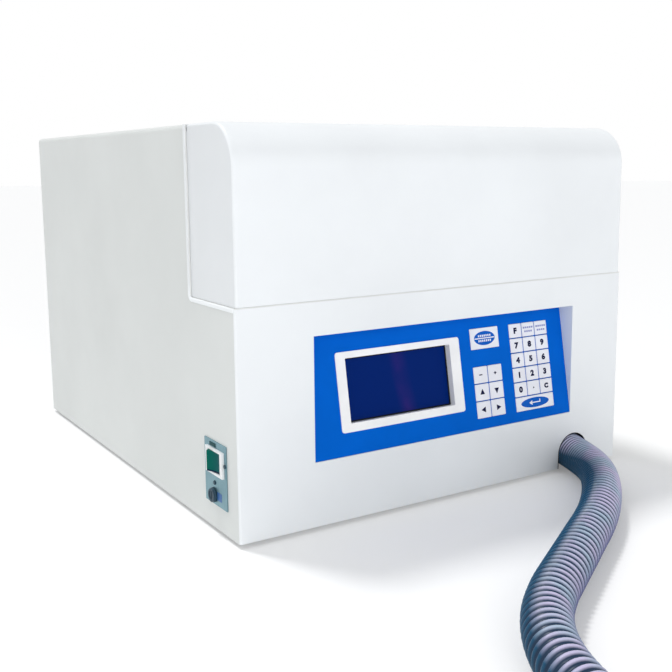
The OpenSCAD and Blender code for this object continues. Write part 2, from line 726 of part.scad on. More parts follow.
// The liner: a folded wrap, a cheek inside each end, and a frame that closes the gap to the skin
module hood_liner() color([0.8, 0.8, 0.79]) {
    difference() {
        hood_bar(hl_xo, hl_yf, hl_yr, hl_zb, hl_zt, hl_r);
        hood_bar(hl_xo + 1, hl_yf + liner_t, hl_yr + 1, hl_zb + liner_t, hl_zt - liner_t, hl_r - liner_t);
    }
    for (s = [-1, 1]) translate([s*(hl_xo - liner_t/2), 0, 0])
        hood_bar(liner_t/2, hl_yf + liner_t + sheet_gap, hl_yr, hl_zb + liner_t + sheet_gap,
                 hl_zt - liner_t - sheet_gap, hl_r - liner_t - sheet_gap);
    difference() {
        span([-hood_xo + hood_skin, hl_lip_y, hood_zb + hood_skin],
             [hood_xo - hood_skin, hl_lip_y + liner_t, zt - 2*knuckle_r - 1]);
        span([-hl_xo - sheet_gap, hl_lip_y - 1, hood_zb],
             [hl_xo + sheet_gap, hl_lip_y + liner_t + 1, hl_zt + sheet_gap]);
    }
}

module hood_seal() color([0.55, 0.2, 0.15]) difference() {
    span([-hl_xo - seal_lap, hl_yr, hl_zb - 2], [hl_xo + seal_lap, hl_yr + seal_t, liner_zt + flange_w - 1]);
    span([-liner_xo - seal_lap, hl_yr - 1, liner_zb - seal_lap],
         [liner_xo + seal_lap, hl_yr + seal_t + 1, liner_zt + seal_lap]);
}

// A leaf's knuckles: every second one along the hinge line
module knuckles(first) {
    n = floor((2*xi - 8)/knuckle_l);
    for (i = [0:n - 1]) if (i % 2 == first)
        rod_x([-n*knuckle_l/2 + i*knuckle_l + hinge_gap/2, hinge_y, hinge_z],
              knuckle_r, knuckle_l - hinge_gap);
}

module leaf_straps(first, y0, y1, z0) {
    n = floor((2*xi - 8)/knuckle_l);
    for (i = [0:n - 1]) if (i % 2 == first) {
        x = -n*knuckle_l/2 + i*knuckle_l + hinge_gap/2;
        span([x, y0, z0], [x + knuckle_l - hinge_gap, y1, z0 + leaf_t]);
    }
}

module hinge_bore() rod_x([-xo, hinge_y, hinge_z], pin_r + pin_play, casing_w);

module hood_hinge_leaf() color([0.8, 0.8, 0.8]) difference() {
    union() {
        knuckles(0);
        leaf_straps(0, hinge_y - leaf_w, hinge_y, zt - hood_skin - leaf_t);
        span([-xi + 4, hinge_y - leaf_w, zt - hood_skin - leaf_t],
             [xi - 4, hinge_y - knuckle_r - hinge_gap, zt - hood_skin]);
    }
    hinge_bore();
}

module body_hinge_leaf() color([0.8, 0.8, 0.8]) difference() {
    union() {
        knuckles(1);
        leaf_straps(1, hinge_y, hinge_y + leaf_w, zt - sheet_t - leaf_t);
        span([-xi + 4, hinge_y + knuckle_r + hinge_gap, zt - sheet_t - leaf_t],
             [xi - 4, hinge_y + leaf_w, zt - sheet_t]);
    }
    hinge_bore();
}

module hinge_pin() color([0.7, 0.7, 0.7]) rod_x([-xi + 2, hinge_y, hinge_z], pin_r, 2*xi - 4);

// ---- Console ----

module key_windows(y0, y1) for (k = KEYS)
    console_slab(k[1] - key_play, k[2] - key_play, k[3] + 2*key_play, k[4] + 2*key_play,
                 key_r + key_play, y0, y1);

module console_plate() color([0, 0.38, 0.8]) on_console() difference() {
    span([fit_gap, 0, 2*fit_gap], [console_w - fit_gap, overlay_t, console_l - fit_gap]);
    key_windows(-1, overlay_t + 1);
    console_slab(bezel_x + bezel_lip, bezel_v + bezel_lip, bezel_w - 2*bezel_lip, bezel_h - 2*bezel_lip, 1,
                 -1, overlay_t + 1);
}

module display_bezel() color([0.93, 0.93, 0.93]) on_console() difference() {
    union() {
        console_slab(bezel_x, bezel_v, bezel_w, bezel_h, bezel_r, -bezel_proud, 0);
        console_slab(bezel_x + bezel_lip, bezel_v + bezel_lip, bezel_w - 2*bezel_lip,
                     bezel_h - 2*bezel_lip, 1, -eps, bezel_body);
    }
    console_slab(bezel_x + window_x, bezel_v + window_v, window_w, window_h, 1,
                 -bezel_proud - 1, bezel_body + 1);
}

module display_window() color([0, 0.1, 0.4]) on_console()
    console_slab(bezel_x + bezel_lip, bezel_v + bezel_lip, bezel_w - 2*bezel_lip, bezel_h - 2*bezel_lip,
                 1, bezel_body, bezel_body + glass_t);

module display_module() color([0.1, 0.2, 0.15]) on_console() {
    y = bezel_body + glass_t;
    span([bezel_x + 4, y, bezel_v + 4], [bezel_x + bezel_w - 4, y + display_t, bezel_v + bezel_h - 4]);
    span([bezel_x - 4, y + display_t, bezel_v - 4],
         [bezel_x + bezel_w + 4, y + display_t + 1.6, bezel_v + bezel_h + 4]);
}

module key_switch_board() color([0.1, 0.35, 0.2]) on_console() {
    difference() {
        span([fit_gap, board_y, 2], [console_w - fit_gap, board_y + board_t, console_l - fit_gap]);
        console_slab(bezel_x + bezel_lip - fit_gap, bezel_v + bezel_lip - fit_gap,
                     bezel_w - 2*bezel_lip + 2*fit_gap, bezel_h - 2*bezel_lip + 2*fit_gap,
                     1, board_y - 1, board_y + board_t + 1);
    }
    // Spacers to the front plate
    for (x = [spacer_w, console_w - 2*spacer_w, bezel_x + bezel_w + spacer_w], v = [4, console_l - 10])
        span([x, overlay_t, v], [x + spacer_w, board_y, v + 4]);
}

module key(k) color([0.95, 0.95, 0.98]) on_console() {
    console_slab(k[1], k[2], k[3], k[4], key_r, -key_proud, key_t);
    translate([k[1] + k[3]/2, key_t, k[2] + k[4]/2]) rotate([-90, 0, 0]) cylinder(r = 3, h = key_boss);
}

// ---- Power plate ----

module power_plate() color([0.45, 0.58, 0.62]) difference() {
    span([-xo - plate_t, yf + plate_y, zb + plate_z], [-xo, yf + plate_y + plate_l, zb + plate_z + plate_h]);
    span([-xo - 5, rocker_cy - switch_body_l/2 - plate_gap, rocker_cz - switch_body_h/2 - plate_gap],
         [-xo + 1, rocker_cy + switch_body_l/2 + plate_gap, rocker_cz + switch_body_h/2 + plate_gap]);
    rod_x([-xo - 5, yf + fuse_y, zb + fuse_z], fuse_r - 1.5 + plate_gap, 6);
}

module switch_body() color([0.93, 0.94, 0.95]) difference() {
    union() {
        span([-xo - plate_t - switch_proud, rocker_cy - switch_l/2, rocker_cz - switch_h/2],
             [-xo - plate_t, rocker_cy + switch_l/2, rocker_cz + switch_h/2]);
        span([-xo - plate_t - eps, rocker_cy - switch_body_l/2, rocker_cz - switch_body_h/2],
             [-xo + switch_deep, rocker_cy + switch_body_l/2, rocker_cz + switch_body_h/2]);
    }
    span([-xo - 10, rocker_cy - rocker_r - rocker_play, rocker_cz - rocker_w/2 - rocker_play],
         [rocker_pivot_x + rocker_back + switch_floor, rocker_cy + rocker_r + rocker_play,
          rocker_cz + rocker_w/2 + rocker_play]);
    rod_z([rocker_pivot_x, rocker_cy, rocker_cz - rocker_w/2 - rocker_pin_l - 0.5], rocker_pin_r + pin_play,
          rocker_w + 2*rocker_pin_l + 1);
}

// The rocker leans about an upright pivot, its rear end out
module rocker() color([0, 0.45, 0.33]) translate([rocker_pivot_x, rocker_cy, rocker_cz])
    rotate([0, 0, rocker_tilt]) {
        intersection() {
            cylinder(r = rocker_r, h = rocker_w, center = true);
            translate([0, 0, -rocker_w/2]) linear_extrude(rocker_w) polygon([
                [rocker_back, -rocker_r], [-rocker_rise, -rocker_r], [-rocker_rise, -rocker_r + 2],
                [-rocker_dip, 0], [-rocker_rise, rocker_r - 2], [-rocker_rise, rocker_r],
                [rocker_back, rocker_r]]);
        }
        cylinder(r = rocker_pin_r, h = rocker_w + 2*rocker_pin_l, center = true);
    }

module fuse_holder() color([0.2, 0.22, 0.25]) difference() {
    union() {
        rod_x([-xo - plate_t - 3.5, yf + fuse_y, zb + fuse_z], fuse_r, 3.5);
        rod_x([-xo - plate_t - 1, yf + fuse_y, zb + fuse_z], fuse_r - 1.5, 30);
    }
    rod_x([-xo - plate_t - 4, yf + fuse_y, zb + fuse_z], fuse_r - 2, 1.2);
    span([-xo - plate_t - 4, yf + fuse_y - 0.6, zb + fuse_z - fuse_r + 2.5],
         [-xo - plate_t - 1.5, yf + fuse_y + 0.6, zb + fuse_z + fuse_r - 2.5]);
}

// A block centred on the inlet, from depth y0 to y1
module inlet_block(w, h, y0, y1)
    span([inlet_cx - w/2, y0, inlet_cz - h/2], [inlet_cx + w/2, y1, inlet_cz + h/2]);

module mains_inlet() color([0.1, 0.1, 0.11]) {
    difference() {
        union() {
            inlet_block(inlet_w + 2*inlet_lip, inlet_h + inlet_lip, yb, yb + inlet_lip_t);
            inlet_block(inlet_w - 2*inlet_lip, inlet_h - 2*inlet_lip, yb - inlet_depth - inlet_lip, yb + 1);
        }
        inlet_block(inlet_w - 2*inlet_wall, inlet_h - 2*inlet_wall, yb - inlet_depth, yb + inlet_lip_t + 1);
    }
    for (p = [[-7, -2.5], [7, -2.5], [0, 3]])
        span([inlet_cx + p[0] - inlet_pin_w/2, yb - inlet_depth - 1, inlet_cz + p[1] - inlet_pin_h/2],
             [inlet_cx + p[0] + inlet_pin_w/2, yb - inlet_pin_in, inlet_cz + p[1] + inlet_pin_h/2]);
}

// ---- Fume outlet ----

module exhaust_blower() color([0.55, 0.57, 0.58]) {
    difference() {
        union() {
            rod_z([blower_cx, blower_cy, scroll_z], scroll_r + pipe_t, scroll_h + 2*pipe_t);
            span([out_x - spigot_r, yf + spigot_y + 40, scroll_z],
                 [out_x + spigot_r + pipe_t, blower_cy, scroll_z + scroll_h + 2*pipe_t]);
            rod_y([out_x, yf + spigot_y, spigot_z], spigot_r, 42);
            for (a = [45:90:315]) rod_z([blower_cx + 50*cos(a), blower_cy + 50*sin(a), zb + inner_t], 5, 4);
        }
        rod_z([blower_cx, blower_cy, scroll_z + pipe_t], scroll_r, scroll_h);
        span([out_x - spigot_r + pipe_t, yf + spigot_y + 42, scroll_z + pipe_t],
             [out_x + spigot_r, blower_cy, scroll_z + pipe_t + scroll_h]);
        rod_y([out_x, yf + spigot_y - 1, spigot_z], spigot_r - pipe_t, 50);
        rod_z([blower_cx, blower_cy, scroll_z + scroll_h], suction_r - pipe_t, 5);
    }
    // Motor under the wheel's hub
    difference() {
        rod_z([blower_cx, blower_cy, scroll_z + pipe_t], motor_hub_r, 14);
        rod_z([blower_cx, blower_cy, scroll_z + pipe_t + 3], blower_shaft_r + shaft_play, 20);
    }
}

module exhaust_impeller() color([0.35, 0.36, 0.38]) translate([blower_cx, blower_cy, wheel_z]) {
    difference() {
        cylinder(r = wheel_r, h = 1.5);
        translate([0, 0, -1]) cylinder(r = wheel_hub_r - bell_t, h = 4);
    }
    translate([0, 0, wheel_h - 1.5]) difference() {
        cylinder(r = wheel_r, h = 1.5);
        translate([0, 0, -1]) cylinder(r = wheel_r - wheel_blade, h = 4);
    }
    // Bell over the motor
    difference() {
        cylinder(r = wheel_hub_r, h = 16);
        translate([0, 0, -1]) cylinder(r = wheel_hub_r - bell_t, h = 15);
    }
    rod_z([0, 0, 2], blower_shaft_r, 14);
    for (a = [0:360/wheel_blades:359]) rotate([0, 0, a]) translate([wheel_r - wheel_blade, -0.5, 0.5])
        rotate([0, 0, 25]) cube([wheel_blade - 1.2, 1, wheel_h - 1]);
}

module suction_pipe() color([0.78, 0.78, 0.78]) difference() {
    rod_z([blower_cx, blower_cy, duct_top + pipe_t], suction_r, liner_zb - duct_top - pipe_t);
    rod_z([blower_cx, blower_cy, duct_top], suction_r - pipe_t, liner_zb - duct_top + 1);
}

module hose_clamp() color([0.75, 0.76, 0.77]) difference() {
    union() {
        rod_y([out_x, clamp_y, spigot_z], spigot_r + clamp_t, clamp_w);
        span([out_x - clamp_screw_w/2, clamp_y, spigot_z + spigot_r],
             [out_x + clamp_screw_w/2, clamp_y + clamp_w, spigot_z + spigot_r + clamp_screw_h]);
    }
    rod_y([out_x, clamp_y - 1, spigot_z], spigot_r, clamp_w + 2);
}

// The hose as one tube swept along its points
function unit(v) = v/norm(v);
function heading(p, i) = i == 0 ? [0, -1, 0] :
    i == len(p) - 1 ? cuff_heading : unit(unit(p[i + 1] - p[i]) + unit(p[i] - p[i - 1]));
function side_of(h) = unit(cross(h, [0, 0, 1]));
function ring(p, i, r, n) = let (h = heading(p, i), s = side_of(h), u = cross(s, h))
    [for (k = [0:n - 1]) p[i] + r*(cos(360*k/n)*s + sin(360*k/n)*u)];

module swept_tube(p, r, n) {
    m = len(p);
    polyhedron(
        points = [for (i = [0:m - 1]) each ring(p, i, r, n)],
        faces = concat(
            [[for (k = [0:n - 1]) k]],
            [for (i = [0:m - 2], k = [0:n - 1])
                [i*n + k, (i + 1)*n + k, (i + 1)*n + (k + 1) % n, i*n + (k + 1) % n]],
            [[for (k = [n - 1:-1:0]) (m - 1)*n + k]]));
}

module exhaust_hose() color([0.35, 0.45, 0.55]) swept_tube(HOSE, hose_r, hose_sides);

module hose_cuff() color([0.15, 0.16, 0.18]) translate(HOSE[len(HOSE) - 1]) rotate([0, 0, cuff_turn])
    difference() {
        rotate([0, 90, 0]) cylinder(r = cuff_r, h = cuff_l);
        translate([2, 0, 0]) rotate([0, 90, 0]) cylinder(r = cuff_r - cuff_t, h = cuff_l);
    }

// ---- Electronics ----

// A block on the board, from its lower left corner
module chip(x, y, w, d, h) translate([pcb_x + x, pcb_y + y, pcb_z + pcb_t]) cube([w, d, h]);

module controller_board() color([0.1, 0.35, 0.2]) {
    translate([pcb_x, pcb_y, pcb_z]) cube([pcb_w, pcb_d, pcb_t]);
    for (x = [pcb_edge, pcb_w - pcb_edge], y = [pcb_edge, pcb_d - pcb_edge])
        rod_z([pcb_x + x, pcb_y + y, zb + inner_t], pcb_post_r, pcb_lift);
    // Transformer
    chip(0.045*pcb_w, 0.53*pcb_d, 0.27*pcb_w, 0.35*pcb_d, 0.21*pcb_w);
    // Relays
    for (i = [0:3]) chip((0.41 + 0.11*i)*pcb_w, 0.765*pcb_d, 0.08*pcb_w, 0.165*pcb_d, 0.09*pcb_w);
    // Heat sink
    chip(0.41*pcb_w, 0.12*pcb_d, 0.41*pcb_w, 0.39*pcb_d, 0.015*pcb_w);
    for (i = [0:7]) chip(0.41*pcb_w, (0.12 + 0.053*i)*pcb_d, 0.41*pcb_w, 0.018*pcb_d, 0.15*pcb_w);
    // Terminals
    chip(0.865*pcb_w, 0.06*pcb_d, 0.09*pcb_w, 0.82*pcb_d, 0.055*pcb_w);
    // Capacitors
    for (i = [0:2])
        rod_z([pcb_x + (0.136 + 0.091*i)*pcb_w, pcb_y + 0.235*pcb_d, pcb_z + pcb_t], 0.036*pcb_w, 0.14*pcb_w);
}

outer_cover();
front_fascia();
base_pan();
rear_panel();
feet();
casing_screws();
deck_frame();
hood_shell();
hood_liner();
hood_seal();
hood_hinge_leaf();
body_hinge_leaf();
hinge_pin();
chamber_liner();
chamber_insulation();
quartz_heaters();
tray_rails();
board_tray();
convection_fan();
convection_motor();
exhaust_blower();
exhaust_impeller();
suction_pipe();
hose_clamp();
exhaust_hose();
hose_cuff();
console_plate();
display_bezel();
display_window();
display_module();
key_switch_board();
power_plate();
switch_body();
rocker();
fuse_holder();
mains_inlet();
controller_board();
for (k = KEYS) key(k);
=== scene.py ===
"""Benchtop reflow oven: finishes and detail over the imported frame."""
import json
import math

import bmesh
import bpy
from bpy.props import FloatProperty, FloatVectorProperty, PointerProperty
from mathutils import Matrix, Vector

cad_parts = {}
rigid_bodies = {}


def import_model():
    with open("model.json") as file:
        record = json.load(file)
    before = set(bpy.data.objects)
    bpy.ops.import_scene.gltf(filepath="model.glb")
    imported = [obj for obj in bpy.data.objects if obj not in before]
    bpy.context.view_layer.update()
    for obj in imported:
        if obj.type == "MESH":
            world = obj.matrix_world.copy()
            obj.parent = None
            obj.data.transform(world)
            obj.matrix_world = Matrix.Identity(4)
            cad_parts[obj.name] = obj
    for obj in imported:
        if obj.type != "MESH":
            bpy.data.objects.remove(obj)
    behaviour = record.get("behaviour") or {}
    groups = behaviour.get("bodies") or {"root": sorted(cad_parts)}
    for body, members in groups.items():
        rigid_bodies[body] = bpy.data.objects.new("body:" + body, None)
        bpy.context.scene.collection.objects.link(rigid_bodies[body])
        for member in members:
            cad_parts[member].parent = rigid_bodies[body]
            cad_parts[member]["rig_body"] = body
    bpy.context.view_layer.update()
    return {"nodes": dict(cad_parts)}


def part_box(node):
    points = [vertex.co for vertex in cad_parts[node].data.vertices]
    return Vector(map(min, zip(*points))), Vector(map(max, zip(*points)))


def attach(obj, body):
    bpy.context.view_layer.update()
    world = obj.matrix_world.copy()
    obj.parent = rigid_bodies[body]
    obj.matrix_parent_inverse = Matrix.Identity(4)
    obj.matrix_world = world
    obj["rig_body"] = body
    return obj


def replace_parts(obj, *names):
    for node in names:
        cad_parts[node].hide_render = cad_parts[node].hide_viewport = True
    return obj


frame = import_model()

bl_info = {
    "name": "Benchtop Reflow Oven",
    "version": (1, 0, 0),
    "blender": (4, 5, 0),
    "location": "3D View > Sidebar > Oven",
    "description": "Builds the finished reflow oven over its frame",
    "category": "Object",
}

MM = 0.001
NODES = frame["nodes"]
FINISHES = {}
RIGHT, FORWARD, UP = Vector((1, 0, 0)), Vector((0, -1, 0)), Vector((0, 0, 1))
TILT = math.radians(10)
UP_SLOPE = Vector((0, math.sin(TILT), math.cos(TILT)))
OUT_OF_CONSOLE = Vector((0, -math.cos(TILT), math.sin(TILT)))
# Axes of a flat drawing on the console and on the casing's left side: across, up, out
ON_CONSOLE = (RIGHT, UP_SLOPE, OUT_OF_CONSOLE)
ON_SIDE = (FORWARD, UP, -RIGHT)
PRINT = 0.00004
# Outside of the cover's right side, the ledge that the hood rests over, and the front's face
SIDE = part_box("outer_cover")[1].x
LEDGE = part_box("front_fascia")[1].z
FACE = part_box("front_fascia")[0].y

# The hose's centre line in millimetres: the outlet, the stretch over the bench, the wide turn
HOSE_RUN = [
    (176, -240, 27), (177, -266, 25), (176, -292, 21.5), (169, -320, 19.5), (158, -345, 19.5),
    (144, -367, 19.5), (127, -387, 19.5), (105, -409, 19.5), (81, -430, 19.5), (54, -451, 19.5),
    (26, -470, 19.5), (-3, -488, 19.5), (-30, -505, 19.5), (-54, -520, 19.5), (-78, -535, 19.5),
    (-101, -550, 19.5)]
HOSE_TURN = {"at": (11, -722), "radius": 205, "from": 123, "to": 330, "steps": 20, "flat": 13,
             "lie": 19.5, "rise": 4}


# ---- Sizes and colours that a user may change ----

def amount(name, text, default, low, high, unit="NONE"):
    return FloatProperty(name=name, description=text, default=default, min=low, max=high, unit=unit)


def length(name, text, default, low, high):
    return amount(name, text, default, low, high, "LENGTH")


def tint(name, of, *rgb):
    return FloatVectorProperty(name=name, description="Colour of " + of, subtype="COLOR", size=3,
                               min=0, max=1, default=rgb)


def turned_by(name, text, degrees):
    return FloatProperty(name=name, description=text, subtype="ANGLE", default=math.radians(degrees))


class OvenForm(bpy.types.PropertyGroup):
    """Sizes of the finishing detail"""
    edge: length("Sheet edge", "Softness of folded sheet edges", 0.0006, 0.0002, 0.002)
    hood_edge: length("Hood edge", "Radius of the hood's side edges", 0.003, 0.001, 0.008)
    ledge: length("Ledge", "Rounding of the cover's edge along the hood", 0.0014, 0.0002, 0.0018)
    hose_tight: length("Tight pitch", "Distance from rib to rib at the outlet", 0.0046, 0.003, 0.01)
    hose_pitch: length("Stretched pitch", "Distance from rib to rib on the bench", 0.0086, 0.003, 0.012)
    hose_rib: length("Hose rib", "Depth of the grooves between the hose's ribs", 0.0026, 0.0005, 0.004)
    hose_diameter: length("Hose diameter", "Diameter over the hose's ribs", 0.039, 0.02, 0.05)
    print_height: length("Digit height", "Height of the digits on the keys", 0.0058, 0.003, 0.01)


class OvenColours(bpy.types.PropertyGroup):
    """Colours of the finishes"""
    # Darker than the front's colour: painted shade for the cover's sides, which are the same white
    # paint as the front
    casing: tint("Casing", "the cover and the rear panel", 0.71, 0.732, 0.72)
    front: tint("Front", "the front and the hood", 0.845, 0.87, 0.89)
    console: tint("Console", "the console's ground", 0.0, 0.125, 0.62)
    key: tint("Keys", "the keys", 0.86, 0.87, 0.93)
    ink: tint("Print", "the print on the keys", 0.008, 0.010, 0.05)
    # The dark teal of the hose's shaded side: painted shade
    hose_shade_side: tint("Hose side", "the hose low on its sides", 0.0, 0.062, 0.135)
    glass: tint("Display", "the dark display", 0.0, 0.015, 0.135)
    rocker: tint("Rocker", "the power rocker", 0.0, 0.125, 0.082)
    hose: tint("Hose", "the hose's ribs", 0.50, 0.51, 0.70)


class OvenStudio(bpy.types.PropertyGroup):
    """Camera and light"""
    lens: amount("Lens", "Focal length in millimetres", 51.06, 10, 200)
    camera_at: FloatVectorProperty(
        name="Camera", description="Place of the camera", size=3, subtype="TRANSLATION",
        unit="LENGTH", default=(-0.6038, -1.0468, 0.3447))
    yaw: turned_by("Yaw", "Turn of the camera to the right of the rear", 32.27)
    pitch: turned_by("Pitch", "Lean of the camera down", 8.8)
    roll: turned_by("Roll", "Roll of the camera", -0.51)
    sky: amount("Room light", "Strength of the even light from the room", 0.52, 0, 3)
    overhead: amount("Overhead light", "Strength of the light from above", 1.55, 0, 10)
    front_lamp: amount("Front lamp", "Power of the lamp at the front left", 24, 0, 500, "POWER")
    side_lamp: amount("Side lamp", "Power of the lamp at the left", 1.5, 0, 500, "POWER")


# ---- Finishes ----

class Graph:
    """A node tree, with short ways to add and join nodes"""

    def __init__(self, tree):
        self.tree = tree

    def join(self, value, socket):
        """A link from another node's output, or a plain value"""
        if isinstance(value, bpy.types.NodeSocket):
            self.tree.links.new(value, socket)
        else:
            socket.default_value = value

    def node(self, kind, values=None, **settings):
        made = self.tree.nodes.new("ShaderNode" + kind)
        for key, value in settings.items():
            setattr(made, key, value)
        for socket, value in (values or {}).items():
            self.join(value, made.inputs[socket])
        return made

    def maths(self, operation, a, b):
        return self.node("Math", {0: a, 1: b}, operation=operation).outputs[0]

    def any_ray(self, *kinds):
        """One when the ray is of any of these kinds"""
        ray = self.node("LightPath")
        found = ray.outputs[kinds[0]]
        for kind in kinds[1:]:
            found = self.maths("MAXIMUM", found, ray.outputs[kind])
        return found

    def show(self, share, a, b, surface):
        """Two shaders mixed by a share, as what is seen"""
        self.join(self.node("MixShader", {0: share, 1: a, 2: b}).outputs[0], surface)


class Finish(Graph):
    """A named material with one shader"""

    def __init__(self, name, colour, rough, metal=0.0, **sockets):
        self.mat = bpy.data.materials.new(name)
        self.mat.use_nodes = True
        super().__init__(self.mat.node_tree)
        self.shader = self.tree.nodes["Principled BSDF"]
        self.set("Base Color", (*colour, 1))
        self.set("Roughness", rough)
        self.set("Metallic", metal)
        for socket, value in sockets.items():
            self.set(socket.replace("_", " "), value)
        self.relief = None
        FINISHES[name] = self.mat

    def set(self, socket, value):
        self.join(value, self.shader.inputs[socket])

    def place(self, scale=(1, 1, 1), turn=(0, 0, 0)):
        coords = self.node("TexCoord").outputs["Object"]
        values = {"Vector": coords, "Scale": scale, "Rotation": turn}
        return self.node("Mapping", values).outputs["Vector"]

    def spot(self):
        """The place on the object along X, Y and Z"""
        return self.node("SeparateXYZ", {0: self.place()}).outputs

    def noise(self, scale, detail=3.0, stretch=(1, 1, 1)):
        values = {"Vector": self.place(stretch), "Scale": scale, "Detail": detail, "Roughness": 0.55}
        return self.node("TexNoise", values).outputs["Fac"]

    def cells(self, scale):
        return self.node("TexVoronoi", {"Vector": self.place(), "Scale": scale}).outputs

    def waves(self, scale, distortion=0.0, turn=(0, 0, 0), along="X"):
        values = {"Vector": self.place(turn=turn), "Scale": scale, "Distortion": distortion}
        return self.node("TexWave", values, bands_direction=along).outputs["Fac"]

    def drawn_on(self, name):
        """A value that the mesh carries at each point"""
        return self.node("Attribute", attribute_name=name).outputs["Fac"]

    def ramp(self, value, low, high, lo=0.0, hi=1.0):
        values = {"Value": value, "From Min": low, "From Max": high, "To Min": lo, "To Max": hi}
        return self.node("MapRange", values).outputs["Result"]

    def mix(self, factor, a, b):
        made = self.node("Mix", {0: factor}, data_type="RGBA")
        for socket, value in ((6, a), (7, b)):
            plain = not isinstance(value, bpy.types.NodeSocket)
            self.join((*value[:3], 1) if plain else value, made.inputs[socket])
        return made.outputs[2]

    def paint(self, colour):
        self.set("Base Color", colour)

    def polish(self, grain, smooth, rough, high=0.7):
        """Roughness that follows a noise"""
        self.set("Roughness", self.ramp(grain, 0.3, high, smooth, rough))

    def emboss(self, height, depth, strength=1.0):
        values = {"Height": height, "Distance": depth, "Strength": strength}
        if self.relief:
            values["Normal"] = self.relief
        self.relief = self.node("Bump", values).outputs["Normal"]
        self.set("Normal", self.relief)


def shade(colour, factor):
    return tuple(min(1.0, c*factor) for c in colour[:3])


def painted(name, colour, rough=0.42):
    """Powder coat: fine orange peel, a slow drift in tone, faint smudges in the gloss"""
    f = Finish(name, colour, rough, IOR=1.45, Specular_IOR_Level=0.42)
    drift = f.ramp(f.noise(5.5, 4), 0.35, 0.68)
    tone = f.mix(drift, shade(colour, 0.965), shade(colour, 1.02))
    specks = f.ramp(f.noise(420, 2), 0.62, 0.78, 0, 0.10)
    f.paint(f.mix(specks, tone, shade(colour, 0.80)))
    f.polish(f.noise(17, 5), rough - 0.06, rough + 0.08, 0.72)
    f.emboss(f.noise(1300, 2), 0.00008, 0.5)
    f.emboss(f.noise(9, 2), 0.0012, 0.05)


def brushed(name, colour, rough=0.30, along="x", heat=None):
    """Brushed sheet metal with its grain along one axis, and the tint that heat gives"""
    f = Finish(name, colour, rough, metal=1.0, Anisotropic=0.35)
    stretch = {"x": (0.02, 1, 1), "y": (1, 0.02, 1), "z": (1, 1, 0.02)}[along]
    lines = f.noise(1500, 4, stretch)
    clouds = f.ramp(f.noise(11, 4), 0.35, 0.7)
    tone = f.mix(clouds, shade(colour, 0.86), colour)
    if heat:
        tone = f.mix(f.ramp(f.noise(4, 3), 0.48, 0.72, 0, 0.55), tone, heat)
    f.paint(f.mix(f.ramp(lines, 0.35, 0.65, 0, 0.35), tone, shade(colour, 0.7)))
    f.polish(lines, rough - 0.07, rough + 0.12)
    f.emboss(lines, 0.00006, 0.4)


def zinc(name, colour, rough=0.42):
    """Zinc-plated sheet with a faint spangle"""
    f = Finish(name, colour, rough, metal=1.0)
    spangle = f.ramp(f.cells(130)["Color"], 0.1, 0.9, 0, 0.4)
    f.paint(f.mix(spangle, f.mix(f.noise(14, 3), shade(colour, 0.85), colour), shade(colour, 1.12)))
    f.polish(f.noise(60, 3), rough - 0.08, rough + 0.14)
    f.emboss(f.noise(700, 2), 0.00005, 0.4)


def moulded(name, colour, rough=0.45, grain=1100, depth=0.00006, spec=0.4, **sockets):
    """Moulded or printed plastic with a fine grain"""
    f = Finish(name, colour, rough, Specular_IOR_Level=spec, **sockets)
    f.paint(f.mix(f.ramp(f.noise(24, 4), 0.35, 0.7), shade(colour, 0.94), shade(colour, 1.03)))
    f.polish(f.noise(45, 4), rough - 0.07, rough + 0.08)
    f.emboss(f.noise(grain, 2), depth, 0.5)


def display_face(name, colour):
    """Dark graphic display: a fine raster, a soft violet streak, an even backlight"""
    f = Finish(name, colour, 0.36, Specular_IOR_Level=0.04, Emission_Strength=0.12)
    low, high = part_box("display_window")
    x, _, z = f.spot()
    lean, reach = 0.16, 0.012
    across = f.maths("ADD", x, f.maths("MULTIPLY", z, lean))
    middle = (low.x + high.x)/2 + lean*high.z
    band = f.maths("MULTIPLY", f.ramp(across, middle - reach, middle - 0.002),
                   f.ramp(across, middle, middle + reach, 1, 0))
    streak = f.maths("MULTIPLY", band, f.ramp(f.noise(28, 3), 0.35, 0.65, 0.3, 1))
    tone = f.mix(streak, colour, (0.024, 0.016, 0.15))
    grid = f.maths("MULTIPLY", f.waves(320), f.waves(320, along="Z"))
    tone = f.mix(f.ramp(grid, 0, 1, 0, 0.28), tone, shade(colour, 0.55))
    f.paint(tone)
    f.set("Emission Color", tone)


def edging(name, bright, plain):
    """White edging, paler than the cover: a painted highlight of the rounded edge, brightest on the
    ledge under the hood
    """
    f = Finish(name, bright, 0.4, Specular_IOR_Level=0.4)
    # Painted highlight: palest at the ledge, fading upward
    f.paint(f.mix(f.ramp(f.spot()[2], LEDGE + 0.003, LEDGE + 0.014), bright, plain))
    f.polish(f.noise(60, 3), 0.34, 0.46)
    f.emboss(f.noise(900, 2), 0.00003, 0.5)


def rocker_lens(name, colour):
    """Green rocker with painted shade on its front end, a painted highlight towards its rear end and a
    painted shadow along its lower and front border
    """
    f = Finish(name, colour, 0.36, Specular_IOR_Level=0.05)
    low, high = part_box("rocker")
    _, y, z = f.spot()
    # Painted shadow: one inside, falling to nothing along the lower and front borders
    clear = f.maths("MULTIPLY", f.ramp(z, low.z + 0.0022, low.z + 0.0032),
                    f.ramp(y, low.y + 0.0018, low.y + 0.0028))
    # Painted shade towards the front end, a painted highlight towards the rear end
    tone = f.mix(f.ramp(y, low.y, high.y), (0.0, 0.085, 0.10), shade(colour, 1.05))
    f.paint(f.mix(clear, (0.0, 0.018, 0.055), tone))
    f.polish(f.noise(45, 4), 0.30, 0.42)
    f.emboss(f.noise(700, 2), 0.00002, 0.5)


